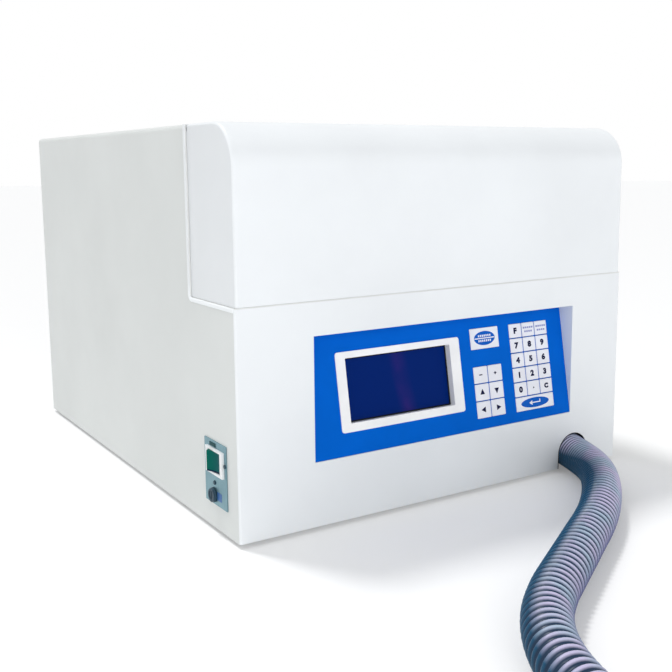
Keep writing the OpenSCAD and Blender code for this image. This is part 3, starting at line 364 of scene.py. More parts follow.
def hose_skin(name, colour, side):
    """Ribbed hose: a painted highlight on top of the ribs, painted shade on its sides, teal on one and
    violet on the other, and painted shade in the dark grooves
    """
    f = Finish(name, colour, 0.4, Specular_IOR_Level=0.35)
    rib, painted_highlight, lean = (f.drawn_on(name) for name in ("rib", "painted_highlight", "lean"))
    # Painted shade on the sides: teal on one side and violet on the other
    low = f.mix(f.ramp(lean, 0.35, 0.95), side, (0.06, 0.07, 0.21))
    cast = f.mix(f.ramp(f.noise(30, 3), 0.40, 0.60), (0.24, 0.46, 0.50), (0.56, 0.46, 0.66))
    # The ribs are pale where the painted highlight falls and dark in the painted shade elsewhere
    ribs = f.mix(f.ramp(painted_highlight, 0.42, 0.96), low, f.mix(0.4, colour, cast))
    # Painted shade in the grooves between the ribs
    f.paint(f.mix(f.ramp(rib, 0.34, 0.80), (0.0, 0.022, 0.062), ribs))
    f.polish(f.noise(300, 3), 0.32, 0.50)
    f.emboss(f.noise(900, 3), 0.0001, 0.35)


def circuit(name):
    """Circuit board: green lacquer with lighter tracks and pads"""
    f = Finish(name, (0.02, 0.16, 0.07), 0.36)
    tracks = f.node("TexBrick", {
        "Vector": f.place(), "Scale": 60, "Mortar Size": 0.03, "Color1": (0.02, 0.15, 0.07, 1),
        "Color2": (0.018, 0.13, 0.06, 1), "Mortar": (0.06, 0.28, 0.12, 1)}).outputs["Color"]
    holes = f.cells(240)["Distance"]
    pads = f.ramp(holes, 0.12, 0.18, 0.7, 0)
    f.paint(f.mix(pads, tracks, (0.55, 0.50, 0.38)))
    f.emboss(holes, 0.0001, 0.4)


def wool(name, colour):
    """Matted mineral fibre"""
    f = Finish(name, colour, 0.95, Sheen_Weight=0.3)
    fibres = f.noise(260, 6, (1, 0.25, 1))
    f.paint(f.mix(f.ramp(fibres, 0.35, 0.7), shade(colour, 0.7), shade(colour, 1.08)))
    f.emboss(fibres, 0.0012, 0.8)


def braid(name, colour):
    """Woven sleeve of a heat-proof seal"""
    f = Finish(name, colour, 0.7, Sheen_Weight=0.2)
    weave = f.waves(260, 2.5, turn=(0.7, 0.7, 0.7))
    f.paint(f.mix(weave, shade(colour, 0.6), shade(colour, 1.15)))
    f.emboss(weave, 0.0003, 0.6)


def make_finishes(c):
    """Every finish, from the colours in the panel"""
    # The casing's paint is a shaded copy of the front's white: painted shade
    painted("casing_paint", c.casing)
    painted("front_paint", c.front, 0.40)
    # A shaded copy of the front paint: painted shade on the hood's side faces
    painted("cheek_shade_paint", shade(c.front, 0.93), 0.40)
    brushed("stainless", (0.62, 0.61, 0.59), heat=(0.55, 0.43, 0.28))
    brushed("hinge_steel", (0.66, 0.66, 0.66), 0.28)
    brushed("fan_steel", (0.55, 0.56, 0.57), 0.34, "y")
    zinc("zinc_steel", (0.60, 0.62, 0.63))
    moulded("console_blue", c.console, 0.50, 2400, 0.00004, spec=0.03)
    moulded("key_white", c.key, 0.46, 2600, 0.00003, spec=0.25)
    moulded("key_ink", c.ink, 0.6, 2600, 0.00002, spec=0.1)
    moulded("key_blue", shade(c.console, 0.85), 0.5, 2600, 0.00002, spec=0.12)
    moulded("bezel_white", (0.96, 0.96, 0.965), 0.42, 1800, 0.00004, spec=0.3)
    moulded("switch_white", (0.82, 0.84, 0.85), 0.28, 900, 0.00002, spec=0.5)
    rocker_lens("rocker_green", c.rocker)
    moulded("black_plastic", (0.018, 0.019, 0.022), 0.48, 1400, 0.00008)
    edging("edge_highlight_white", shade(c.front, 1.08), shade(c.front, 0.97))
    moulded("seam_pale", (0.78, 0.79, 0.78), 0.8, 900, 0.00005, spec=0.2)
    moulded("indicator_teal", (0.0, 0.055, 0.062), 0.35, 900, 0.00003, spec=0.1)
    moulded("fuse_reflection_blue", (0.035, 0.13, 0.36), 0.4, 900, 0.00003, spec=0.5)
    moulded("screw_dark", (0.02, 0.06, 0.09), 0.35, 900, 0.00003, spec=0.5, Metallic=0.4)
    moulded("fuse_dark", (0.040, 0.075, 0.105), 0.5, 1400, 0.00005, spec=0.2)
    moulded("key_faint", (0.26, 0.29, 0.56), 0.6, 2600, 0.00002, spec=0.1)
    moulded("gasket_black", (0.006, 0.007, 0.012), 0.7, 900, 0.00005, spec=0.15)
    moulded("foot_rubber", (0.022, 0.022, 0.023), 0.8, 600, 0.0002, spec=0.25)
    braid("seal_silicone", (0.36, 0.06, 0.035))
    wool("mineral_wool", (0.66, 0.62, 0.52))
    moulded("quartz", (0.80, 0.76, 0.70), 0.25, 300, 0.00003, spec=0.7)
    moulded("ceramic", (0.82, 0.80, 0.75), 0.6, 500, 0.0001)
    painted("motor_enamel", (0.035, 0.038, 0.043), 0.38)
    brushed("plate_grey", (0.235, 0.385, 0.44), 0.42, "z")
    display_face("display_glass", c.glass)
    circuit("circuit_green")
    hose_skin("hose_blue_grey", c.hose, c.hose_shade_side)


# ---- Mesh making ----

def piece(name, bm, finish, body="casing", angle=34, weighted=True):
    """An object from a mesh: its finish, sharp creases, the body that it rides on"""
    me = bpy.data.meshes.new(name)
    bmesh.ops.recalc_face_normals(bm, faces=bm.faces)
    bm.to_mesh(me)
    bm.free()
    me.materials.append(FINISHES[finish])
    me.shade_smooth()
    me.set_sharp_from_angle(angle=math.radians(angle))
    obj = bpy.data.objects.new(name, me)
    bpy.context.scene.collection.objects.link(obj)
    if weighted:
        flat = obj.modifiers.new("Even shading", "WEIGHTED_NORMAL")
        flat.keep_sharp = True
        flat.weight = 80
    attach(obj, body)
    return obj


def node_bmesh(node):
    """A CAD solid's faces, with its flat triangles merged"""
    bm = bmesh.new()
    bm.from_mesh(NODES[node].data)
    bmesh.ops.remove_doubles(bm, verts=bm.verts, dist=2e-6)
    bmesh.ops.dissolve_limit(bm, angle_limit=math.radians(0.6), verts=bm.verts, edges=bm.edges)
    return bm


def round_edges(bm, edges, width, segments, clamp=False):
    bmesh.ops.bevel(bm, geom=edges, offset=width, offset_type="OFFSET", segments=segments, profile=0.5,
                    affect="EDGES", clamp_overlap=clamp, loop_slide=True)


def soften(bm, width, segments=2, angle=34, keep=None):
    """Rounds the creases of a mesh; keep(middle) says which stay sharp"""
    creases = [e for e in bm.edges if len(e.link_faces) == 2
               and e.calc_face_angle(0) > math.radians(angle)
               and not (keep and keep((e.verts[0].co + e.verts[1].co)/2))]
    if creases:
        round_edges(bm, creases, width, segments, True)
    return bm


def dressed(node, name, finish, width=0.0004, segments=2, angle=34, keep=None):
    """A softened piece that stands for a CAD node"""
    bm = soften(node_bmesh(node), width, segments, angle, keep)
    obj = piece(name, bm, finish, NODES[node]["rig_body"])
    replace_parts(obj, node)
    return obj


def coat(node, finish):
    """A finish on a CAD node whose shape is right"""
    obj = NODES[node]
    obj.data.materials.clear()
    obj.data.materials.append(FINISHES[finish])


def extents(node, axis):
    """Lowest and highest reach of a CAD node along a direction"""
    reach = [v.co.dot(axis) for v in NODES[node].data.vertices]
    return min(reach), max(reach)


def face_spot(node):
    """Middle of a console piece's face, with its width, its height and its depth"""
    (x0, x1), (u0, u1), (n0, n1) = (extents(node, axis) for axis in ON_CONSOLE)
    middle = RIGHT*(x0 + x1)/2 + UP_SLOPE*(u0 + u1)/2 + OUT_OF_CONSOLE*n1
    return middle, x1 - x0, u1 - u0, n1 - n0


def on_face(bm, middle, axes):
    """Moves a flat drawing in X and Y onto a face"""
    basis = Matrix(axes).transposed().to_4x4()
    bmesh.ops.transform(bm, matrix=Matrix.Translation(middle) @ basis, verts=bm.verts)


def slab(bm, points, push):
    """A solid from a flat outline that is pushed along"""
    face = bm.faces.new([bm.verts.new(p) for p in points])
    made = bmesh.ops.extrude_face_region(bm, geom=[face])["geom"]
    bmesh.ops.translate(bm, vec=push, verts=[g for g in made if isinstance(g, bmesh.types.BMVert)])


def drawn(*outlines, low=0.0, high=PRINT):
    """Flat plates from outlines, between two heights"""
    bm = bmesh.new()
    for points in outlines:
        slab(bm, [(x, y, low) for x, y in points], (0, 0, high - low))
    return bm


def around(n):
    """Sine and cosine at each of n steps round a circle"""
    return [(math.sin(2*math.pi*i/n), math.cos(2*math.pi*i/n)) for i in range(n)]


def ellipse(rx, ry, n=40):
    return [(rx*c, ry*s) for s, c in around(n)]


def bar(w, h, at=(0, 0)):
    x, y = at
    return [(x - w/2, y - h/2), (x + w/2, y - h/2), (x + w/2, y + h/2), (x - w/2, y + h/2)]


def letters(text, height, weight=0.0):
    """A word as a flat mesh, centred"""
    curve = bpy.data.curves.new("letters", "FONT")
    curve.body = text
    curve.size = height/0.72
    curve.offset = weight
    curve.extrude = 0.00003
    curve.resolution_u = 4
    obj = bpy.data.objects.new("letters", curve)
    bpy.context.scene.collection.objects.link(obj)
    bpy.context.view_layer.update()
    me = bpy.data.meshes.new_from_object(obj.evaluated_get(bpy.context.evaluated_depsgraph_get()))
    bm = bmesh.new()
    bm.from_mesh(me)
    bmesh.ops.remove_doubles(bm, verts=bm.verts, dist=1e-7)
    xs = [v.co.x for v in bm.verts]
    ys = [v.co.y for v in bm.verts]
    bmesh.ops.translate(bm, vec=(-(min(xs) + max(xs))/2, -(min(ys) + max(ys))/2, 0), verts=bm.verts)
    bpy.data.objects.remove(obj)
    bpy.data.curves.remove(curve)
    bpy.data.meshes.remove(me)
    return bm


def skin(bm, rings, near=True, far=True):
    """Joins rings of vertices into a skin, closed at its near and far ends"""
    n = len(rings[0])
    for a, b in zip(rings, rings[1:]):
        for i in range(n):
            bm.faces.new((a[i], a[(i + 1) % n], b[(i + 1) % n], b[i]))
    if near:
        bm.faces.new(rings[0][::-1])
    if far:
        bm.faces.new(rings[-1])


def lathe(bm, profile, origin, axis, side=UP, n=24, near=False, far=False):
    """Turns a profile of (distance along, radius) about an axis"""
    other = axis.cross(side)
    skin(bm, [[bm.verts.new(origin + axis*along + (side*c + other*s)*radius) for s, c in around(n)]
              for along, radius in profile], near, far)


def loft(bm, rings):
    """Joins rings of points into a closed skin"""
    skin(bm, [[bm.verts.new(p) for p in ring] for ring in rings])


def eased(t):
    """A soft start and end, from 0 to 1"""
    t = min(1.0, max(0.0, t))
    return t*t*(3 - 2*t)


def running(points):
    """The length of the way so far at each point"""
    gone = [0.0]
    for a, b in zip(points, points[1:]):
        gone.append(gone[-1] + (b - a).length)
    return gone


def resample(points, marks, count):
    """Points at even steps of a running measure, and the measure at each"""
    line, wants, k = [], [], 0
    for i in range(count + 1):
        want = marks[-1]*i/count
        while k < len(points) - 2 and marks[k + 1] < want:
            k += 1
        line.append(points[k].lerp(points[k + 1], (want - marks[k])/(marks[k + 1] - marks[k])))
        wants.append(want)
    return line, wants


def smooth_path(points, step):
    """A smooth line through the points, as evenly spaced points"""
    ends = [2*points[0] - points[1]] + points + [2*points[-1] - points[-2]]
    fine = []
    for p0, p1, p2, p3 in zip(ends, ends[1:], ends[2:], ends[3:]):
        for t in (k/24 for k in range(24)):
            fine.append(0.5*(2*p1 + (p2 - p0)*t + (2*p0 - 5*p1 + 4*p2 - p3)*t*t
                             + (3*p1 - p0 - 3*p2 + p3)*t**3))
    fine.append(points[-1])
    gone = running(fine)
    return resample(fine, gone, round(gone[-1]/step))[0]


def headings(path):
    """The direction of a path at each of its points"""
    last = len(path) - 1
    return [(path[min(i + 1, last)] - path[max(i - 1, 0)]).normalized() for i in range(last + 1)]


def hose_points():
    """The hose's centre line in metres: the listed stretch, then the turn"""
    t = HOSE_TURN
    points = list(HOSE_RUN)
    for i in range(1, t["steps"] + 1):
        a = math.radians(t["from"] + i*(t["to"] - t["from"])/t["steps"])
        rise = t["rise"]*eased((i - t["flat"])/(t["steps"] - t["flat"]))
        points.append((t["at"][0] + t["radius"]*math.cos(a), t["at"][1] + t["radius"]*math.sin(a),
                       t["lie"] + rise))
    return [Vector(p)*MM for p in points]


# ---- Operators ----

class OVEN_OT_stage(bpy.types.Operator):
    """Camera, bench and soft studio light"""
    bl_idname = "oven.stage"
    bl_label = "Stage"

    shift = (-0.0092, -0.0346)

    def execute(self, context):
        s = context.scene.oven_studio
        scene = context.scene
        scene.view_settings.view_transform = "Standard"
        data = bpy.data.cameras.new("Oven camera")
        data.lens = s.lens
        data.sensor_width = 36
        data.shift_x, data.shift_y = self.shift
        data.clip_end = 60
        cam = bpy.data.objects.new("Oven camera", data)
        scene.collection.objects.link(cam)
        level = Vector((math.sin(s.yaw), math.cos(s.yaw), 0))
        ahead = level*math.cos(s.pitch) - UP*math.sin(s.pitch)
        right = Vector((math.cos(s.yaw), -math.sin(s.yaw), 0))
        up = right.cross(ahead)
        across = right*math.cos(s.roll) + up*math.sin(s.roll)
        upward = up*math.cos(s.roll) - right*math.sin(s.roll)
        turned = Matrix((across, upward, -ahead)).transposed().to_4x4()
        cam.matrix_world = Matrix.Translation(s.camera_at) @ turned
        scene.camera = cam
        self.room(scene, s)
        above = self.lamp(scene, "Overhead light", "SUN", s.overhead, (0, 0, 0), (0.16, -0.40, -1))
        above.angle = math.radians(10)
        for name, power, at, to, size in (
                ("Front lamp", s.front_lamp, (-0.6, -2.9, 0.8), (0, -0.2, 0.2), 1.6),
                ("Side lamp", s.side_lamp, (-1.15, 0, 1.25), (-0.2, 0, 0.25), 1.2)):
            self.lamp(scene, name, "AREA", power, at, to).size = size
        self.bench(scene)
        return {"FINISHED"}

    def room(self, scene, s):
        """Even light from all round, seen as plain white"""
        world = bpy.data.worlds.new("Room")
        scene.world = world
        world.use_nodes = True
        g = Graph(world.node_tree)
        g.tree.nodes.clear()
        seen = g.node("Background", {"Color": (1, 1, 1, 1), "Strength": 1})
        light = g.node("Background", {"Color": (0.97, 0.985, 1, 1), "Strength": s.sky})
        straight = g.any_ray("Is Camera Ray", "Is Glossy Ray", "Is Transmission Ray")
        g.show(straight, light.outputs[0], seen.outputs[0], g.node("OutputWorld").inputs[0])

    def lamp(self, scene, name, kind, power, at, to):
        data = bpy.data.lights.new(name, kind)
        data.energy = power
        lamp = bpy.data.objects.new(name, data)
        scene.collection.objects.link(lamp)
        lamp.location = at
        lamp.rotation_euler = (Vector(to) - Vector(at)).to_track_quat("-Z", "Y").to_euler()
        return data

    def bench(self, scene):
        """A wide white table top that keeps the shadow"""
        bm = bmesh.new()
        bmesh.ops.create_grid(bm, x_segments=2, y_segments=2, size=14)
        bmesh.ops.translate(bm, vec=(0, 4, -0.0002), verts=bm.verts)
        me = bpy.data.meshes.new("bench")
        bm.to_mesh(me)
        bm.free()
        floor = bpy.data.objects.new("bench", me)
        scene.collection.objects.link(floor)
        f = Finish("bench_white", (0.99, 0.99, 0.99), 0.9, Specular_IOR_Level=0.1)
        glow = f.node("Emission", {"Strength": 1})
        share = f.maths("MULTIPLY", f.any_ray("Is Camera Ray", "Is Glossy Ray"), 0.20)
        f.show(share, f.shader.outputs[0], glow.outputs[0],
               f.tree.nodes["Material Output"].inputs["Surface"])
        me.materials.append(f.mat)


class OVEN_OT_hose(bpy.types.Operator):
    """The ribbed fume hose, its end cuff and its clamp"""
    bl_idname = "oven.hose"
    bl_label = "Fume hose"

    steps_round, steps_to_a_rib = 40, 9

    def execute(self, context):
        form = context.scene.oven_form
        fine = smooth_path(hose_points(), 0.001)
        line, phase = self.rib_steps(fine, form)
        ahead = headings(line)
        ahead[0] = FORWARD
        bm = bmesh.new()
        rib, painted_highlight, lean = (bm.verts.layers.float.new(name) for name in ("rib", "painted_highlight", "lean"))
        circle, rings = around(self.steps_round), []
        for p, h, turn, gone in zip(line, ahead, phase, running(line)):
            side = h.cross(UP).normalized()
            up = side.cross(h)
            light = self.light_side(gone, side, up)
            rings.append([])
            for k, (s, c) in enumerate(circle):
                crest = (0.5 + 0.5*math.cos(2*math.pi*(turn + k/len(circle))))**1.1
                outward = side*c + up*s
                v = bm.verts.new(p + outward*(form.hose_diameter/2 - form.hose_rib*(1 - crest)))
                v[rib] = crest
                # Painted highlight: strongest where the ring faces the light side
                v[painted_highlight] = max(0.0, outward.dot(light))
                # Which side of the painted shade is teal and which violet
                v[lean] = 0.5 - 0.5*outward.dot(side)
                rings[-1].append(v)
        skin(bm, rings)
        hose = piece("fume_hose", bm, "hose_blue_grey", angle=80, weighted=False)
        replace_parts(hose, "exhaust_hose")
        cuff = self.cuff(line[-1])
        [tuple(p) for p in fine[::10] + [fine[-1]]]
        dressed("hose_clamp", "hose_clip", "hinge_steel", 0.0003)
        return {"FINISHED"}

    def light_side(self, gone, side, up):
        """Where the painted highlight on the ribs lies: it turns as the hose bends down and levels out
        """
        turned = math.radians(28 - 66*eased((gone - 0.03)/0.17) + 38*eased((gone - 0.40)/0.20))
        return up*math.cos(turned) + side*math.sin(turned)

    def rib_steps(self, fine, form):
        """Points along the line, with the rib's phase at each"""
        phase = [0.0]
        gone = running(fine)
        for a, b in zip(gone, gone[1:]):
            pitch = form.hose_tight + (form.hose_pitch - form.hose_tight)*eased((b - 0.03)/0.25)
            phase.append(phase[-1] + (b - a)/pitch)
        return resample(fine, phase, round(self.steps_to_a_rib*phase[-1]))

    def cuff(self, end):
        """A ribbed rubber cuff, in millimetres along and out"""
        heading = math.radians(HOSE_TURN["to"] + 90)
        outer = [(0, 19.6), (0.5, 20.6), (1.5, 21.2)]
        for i in range(5):
            at = 3 + i*3.4
            outer += [(at, 21.4), (at + 0.8, 22.4), (at + 2.2, 22.4), (at + 3, 21.4)]
        outer += [(22, 22.2), (26, 22.6), (44, 22.8), (45, 23.4), (49.2, 23.4), (50, 22.9),
                  (50, 21.6), (49.4, 21.05), (2.4, 21.0), (2.0, 20.6), (2.0, 0.4)]
        bm = bmesh.new()
        axis = Vector((math.cos(heading), math.sin(heading), 0))
        lathe(bm, [(a*MM, r*MM) for a, r in outer], end, axis, n=56, near=True, far=True)
        cuff = piece("hose_end_cuff", bm, "black_plastic", angle=40)
        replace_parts(cuff, "hose_cuff")
        return cuff


class OVEN_OT_casing(bpy.types.Operator):
    """Cover, front, base, rear panel, feet and screws"""
    bl_idname = "oven.casing"
    bl_label = "Casing"

    hinge_at = (-0.204, 0.381)
    arch_centre, arch_radius = Vector((0.176, 0, 0.020)), 0.022

    def execute(self, context):
        form = context.scene.oven_form
        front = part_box("outer_cover")[0].y

        def at_front_seam(p):
            return abs(p.y - front) < 1e-4 and p.z < LEDGE - 5e-4

        self.cover(form, at_front_seam)
        self.edge_trim()
        self.seam_strips()
        dressed("front_fascia", "front_face", "front_paint", 1.4*form.edge, 3, keep=at_front_seam)
        self.arch_trim()
        dressed("rear_panel", "rear_sheet", "casing_paint", 0.0003, 2)
        dressed("feet", "rubber_feet", "foot_rubber", 0.0007, 3)
        coat("base_pan", "zinc_steel")
        coat("deck_frame", "zinc_steel")
        dressed("casing_screws", "screw_heads", "zinc_steel", 0.0004, 3)
        dressed("mains_inlet", "inlet_socket", "black_plastic", 0.0004, 2)
        return {"FINISHED"}

    def cover(self, form, at_front_seam):
        """The cover, with a rounder edge where it meets the hood"""
        hood_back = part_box("hood_shell")[1].y
        bm = node_bmesh("outer_cover")

        def along_hood(e):
            a, b = (v.co for v in e.verts)
            low = all(abs(p.z - LEDGE) < 2e-4 for p in (a, b))
            upright = all(abs(p.y - hood_back) < 3e-3 and p.z > LEDGE - 1e-3 for p in (a, b))
            return all(abs(abs(p.x) - SIDE) < 1e-4 for p in (a, b)) and (low or upright)

        round_edges(bm, [e for e in bm.edges if along_hood(e)], form.ledge, 4)
        soften(bm, form.edge, 3, keep=at_front_seam)
        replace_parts(piece("cover_shell", bm, "casing_paint"), "outer_cover")

    def edge_trim(self):
        """White edging on the cover's edge behind and below the hood, its white a painted highlight of
        that rounded edge
        """
        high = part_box("hood_shell")[1]
        back = high.y + 0.0012
        turn = 0.004
        line = [(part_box("outer_cover")[0].y + 0.0002, LEDGE, (0, 1))]
        for a in (math.pi/2*k/8 for k in range(9)):
            s, c = math.sin(a), math.cos(a)
            line.append((back - turn + turn*s, LEDGE + turn - turn*c, (-s, c)))
        line.append((back, high.z - 0.0003, (-1, 0)))
        section = [(-1.2, -3.2), (0.3, -3.2), (0.5, -3.0), (0.5, -0.2), (0.4, 0.2), (0.1, 0.5),
                   (-1.0, 0.5), (-1.2, 0.3)]
        bm = bmesh.new()
        for s in (-1, 1):
            loft(bm, [[Vector((s*(SIDE + a*MM), y + up[0]*b*MM, z + up[1]*b*MM)) for a, b in section]
                      for y, z, up in line])
        piece("edge_trim", bm, "edge_highlight_white", angle=50)

    def seam_strips(self):
        """Pale foam in the seams round the hood, and caps at the ends of the hinge"""
        low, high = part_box("hood_shell")
        seam = (LEDGE - 0.0001, low.z - 0.00015)
        blocks = [((-SIDE + 0.0019, SIDE - 0.0019), (FACE + 0.0003, FACE + 0.0019), seam)]
        for s in (-1, 1):
            blocks.append(((s*(SIDE - 0.0008), s*(SIDE - 0.0019)), (FACE + 0.0004, high.y), seam))
            blocks.append(((s*(SIDE - 0.0002), s*(SIDE - 0.0014)),
                           (high.y + 0.0001, high.y + 0.0014), (seam[0], high.z - 0.0006)))
        bm = bmesh.new()
        for reaches in blocks:
            middle = Vector([(a + b)/2 for a, b in reaches])
            size = [abs(b - a) for a, b in reaches]
            placed = Matrix.Translation(middle) @ Matrix.Diagonal((*size, 1))
            bmesh.ops.create_cube(bm, size=1, matrix=placed)
        piece("seam_foam", bm, "seam_pale")
        bm = bmesh.new()
        for s in (-1, 1):
            lathe(bm, [(0, 0.0024), (0.0004, 0.0028), (0.0014, 0.0028), (0.0017, 0.0024)],
                  Vector((s*(SIDE - 0.0038), *self.hinge_at)), RIGHT*s, near=True, far=True)
        piece("hinge_end_caps", bm, "front_paint")

    def arch_trim(self):
        """A rubber edge strip round the hose's arch"""
        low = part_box("front_fascia")[0].z
        centre, radius = self.arch_centre, self.arch_radius
        inward = [RIGHT]*4
        inward += [Vector((math.cos(a), 0, -math.sin(a)))
                   for a in (math.pi*k/28 for k in range(29))]
        inward += [-RIGHT]*4
        heights = [low + (centre.z - low)*k/4 for k in range(4)]
        heights += [centre.z]*29 + heights[::-1]
        line = [Vector((centre.x, FACE, z)) - radius*d for z, d in zip(heights, inward)]
        section = [(-0.4, -0.4), (0.2, -0.5), (0.5, -0.2), (0.6, 2.4), (0.3, 2.9), (-1.0, 2.8),
                   (-1.1, 2.05), (-0.02, 2.0), (-0.02, 0.0), (-0.4, -0.02)]
        bm = bmesh.new()
        loft(bm, [[p + d*(a*MM) - FORWARD*(b*MM) for a, b in section] for p, d in zip(line, inward)])
        piece("arch_edge_strip", bm, "gasket_black", angle=50)


class OVEN_OT_hood(bpy.types.Operator):
    """Lifting hood with its liner, seal and hinge"""
    bl_idname = "oven.hood"
    bl_label = "Hood"

    bend, sheet, notch, back, foot_edge = 0.040, 0.0015, 0.006, -0.2074, 0.0004

    def execute(self, context):
        self.shell(context.scene.oven_form.hood_edge)
        coat("hood_liner", "stainless")
        dressed("hood_seal", "mouth_seal", "seal_silicone", 0.0009, 3)
        for side in ("hood", "body"):
            dressed(side + "_hinge_leaf", side + "_leaf", "hinge_steel", 0.0002, 1)
        coat("hinge_pin", "hinge_steel")
        return {"FINISHED"}

    def shell(self, edge):
        """The outer skin: a folded sheet with a wide round front edge"""
        low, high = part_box("hood_shell")
        radius, notch, back = self.bend, self.notch, self.back
        profile = [(low.y, low.z)]
        profile += [(low.y + radius - radius*math.cos(a), high.z - radius + radius*math.sin(a))
                    for a in (math.pi/2*k/28 for k in range(29))]
        profile += [(back, high.z), (back, high.z - notch), (high.y, high.z - notch), (high.y, low.z)]
        bm = bmesh.new()
        slab(bm, [(low.x, y, z) for y, z in profile], (high.x - low.x, 0, 0))
        bmesh.ops.recalc_face_normals(bm, faces=bm.faces)

        def creases(foot):
            """The sharp edges, but for those behind: round the foot, or all the others"""
            return [e for e in bm.edges if e.calc_face_angle(0) > math.radians(30)
                    and not all(v.co.y > back - 1e-5 for v in e.verts)
                    and all(v.co.z < low.z + 1e-5 for v in e.verts) == foot]

        round_edges(bm, creases(False), edge, 5)
        round_edges(bm, creases(True), self.foot_edge, 2)
        behind = [f for f in bm.faces if all(v.co.y > back - 1e-5 for v in f.verts)
                  and max(abs(f.normal.y), abs(f.normal.z)) > 0.9
                  and f.calc_center_median().z >= low.z + 1e-4]
        bmesh.ops.delete(bm, geom=behind, context="FACES")
        bmesh.ops.recalc_face_normals(bm, faces=bm.faces)
        obj = piece("hood_skin", bm, "front_paint", "hood", angle=50)
        # The hood's side faces take the shaded copy of the front paint: painted shade
        obj.data.materials.append(FINISHES["cheek_shade_paint"])
        for f in obj.data.polygons:
            f.material_index = int(abs(f.normal.x) > 0.95)
        sheet = obj.modifiers.new("Sheet", "SOLIDIFY")
        sheet.thickness = self.sheet
        sheet.offset = -1
        sheet.use_even_offset = True
        obj.modifiers.move(1, 0)
        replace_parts(obj, "hood_shell")


class OVEN_OT_console(bpy.types.Operator):
    """Tilted console: printed plate, display frame and display"""
    bl_idname = "oven.console"
    bl_label = "Console"

    # The gasket round the display: its width, height and strip, and its shift on the face
    seen, shift = (0.1284, 0.063, 0.0016), (-0.001, 0.0009)

    def execute(self, context):
        dressed("console_plate", "console_sheet", "console_blue", 0.00025, 2)
        dressed("display_bezel", "display_frame", "bezel_white", 0.0006, 3)
        self.display()
        coat("display_module", "circuit_green")
        coat("key_switch_board", "circuit_green")
        return {"FINISHED"}

    def display(self):
        """The dark display, with a black gasket round it"""
        middle, w, h, t = face_spot("display_window")
        bm = soften(drawn(bar(w - 0.0002, h - 0.0002), low=-t, high=-0.00002), 0.0002, 2)
        on_face(bm, middle, ON_CONSOLE)
        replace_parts(piece("display_panel", bm, "display_glass"), "display_window")
        seen_w, seen_h, strip = self.seen
        bm = drawn(*(bar(seen_w, strip, (0, s*(seen_h - strip)/2)) for s in (1, -1)),
                   *(bar(strip, seen_h - 2*strip, (s*(seen_w - strip)/2, 0)) for s in (1, -1)),
                   high=0.0006)
        on_face(bm, middle + RIGHT*self.shift[0] + UP_SLOPE*self.shift[1], ON_CONSOLE)
        piece("display_gasket", bm, "gasket_black")


class OVEN_OT_keys(bpy.types.Operator):
    """The keys and the print on them"""
    bl_idname = "oven.keys"
    bl_label = "Keys"

    signs = {"clear": "C", "function": "F"}
    arrows = {"up": 90, "down": 270, "left": 180, "right": 0}

    def execute(self, context):
        size = context.scene.oven_form.print_height
        for node in sorted(n for n in NODES if n.startswith("key_") and n != "key_switch_board"):
            what = node[4:]
            ink = "key_ink"
            dressed(node, node + "_cap", "key_white", 0.00022, 2)
            middle, w, h, _ = face_spot(node)
            if what in self.arrows:
                bm = self.arrow(math.radians(self.arrows[what]), size*0.66)
            elif what in ("minus", "plus", "point"):
                bm = self.sign(what, size)
            elif what in ("program", "store"):
                bm = self.lines(w)
                ink = "key_faint"
            elif what in ("enter", "start"):
                self.oval(node, what, middle, w, h)
                continue
            else:
                height = size*(0.82 if what == "clear" else 1)
                bm = letters(self.signs.get(what, what), height, 0.00055)
                bmesh.ops.scale(bm, vec=(1.15, 1, 1), verts=bm.verts)
            self.printed(node + "_print", bm, middle, ink, node, "key_white")
        return {"FINISHED"}

    def printed(self, name, bm, middle, ink, node, slot, lift=0.00002):
        on_face(bm, middle + OUT_OF_CONSOLE*lift, ON_CONSOLE)
        piece(name, bm, ink, node, weighted=False)

    def sign(self, what, size):
        if what == "point":
            return drawn(ellipse(0.0009, 0.0009, 20))
        if what == "minus":
            return drawn(bar(size*0.75, size*0.2))
        ends = (bar(size*0.2, size*0.2, (0, s*size*0.2)) for s in (-1, 1))
        return drawn(bar(size*0.6, size*0.2), *ends)

    def arrow(self, turn, size):
        return drawn([(size*math.cos(turn + a), size*math.sin(turn + a)) for a in (0, 2.2, -2.2)])

    def lines(self, w):
        """Two short lines of plain marks"""
        rows = ((0.0021, 5), (-0.0021, 4))
        return drawn(*(bar(w*0.13, 0.0019, ((k - (n - 1)/2)*w*0.171, row))
                       for row, n in rows for k in range(n)))

    def oval(self, node, what, middle, w, h):
        """A blue oval with a white sign in it"""
        rx, ry = 0.37*w, (0.34 if what == "start" else 0.36)*h
        bm = drawn(ellipse(rx, ry, 64))
        self.printed(node + "_oval", bm, middle, "key_blue", node, "console_blue")
        if what == "start":
            marks = (bar(0.0016, 0.0022, ((k - 3)*0.0026, row))
                     for row in (0.0026, -0.0027) for k in range(7))
            bm = drawn(bar(1.9*rx, 0.0011), *marks)
        else:
            t = 0.0011
            point = [(-0.0086, 0), (-0.0042, -0.0026), (-0.0042, 0.0026)]
            bm = drawn(bar(0.0115, t, (0.0008, 0)), bar(t, 0.0034, (0.0071, 0.0011)), point)
        self.printed(node + "_sign", bm, middle, "key_white", node, "key_white", 0.00007)


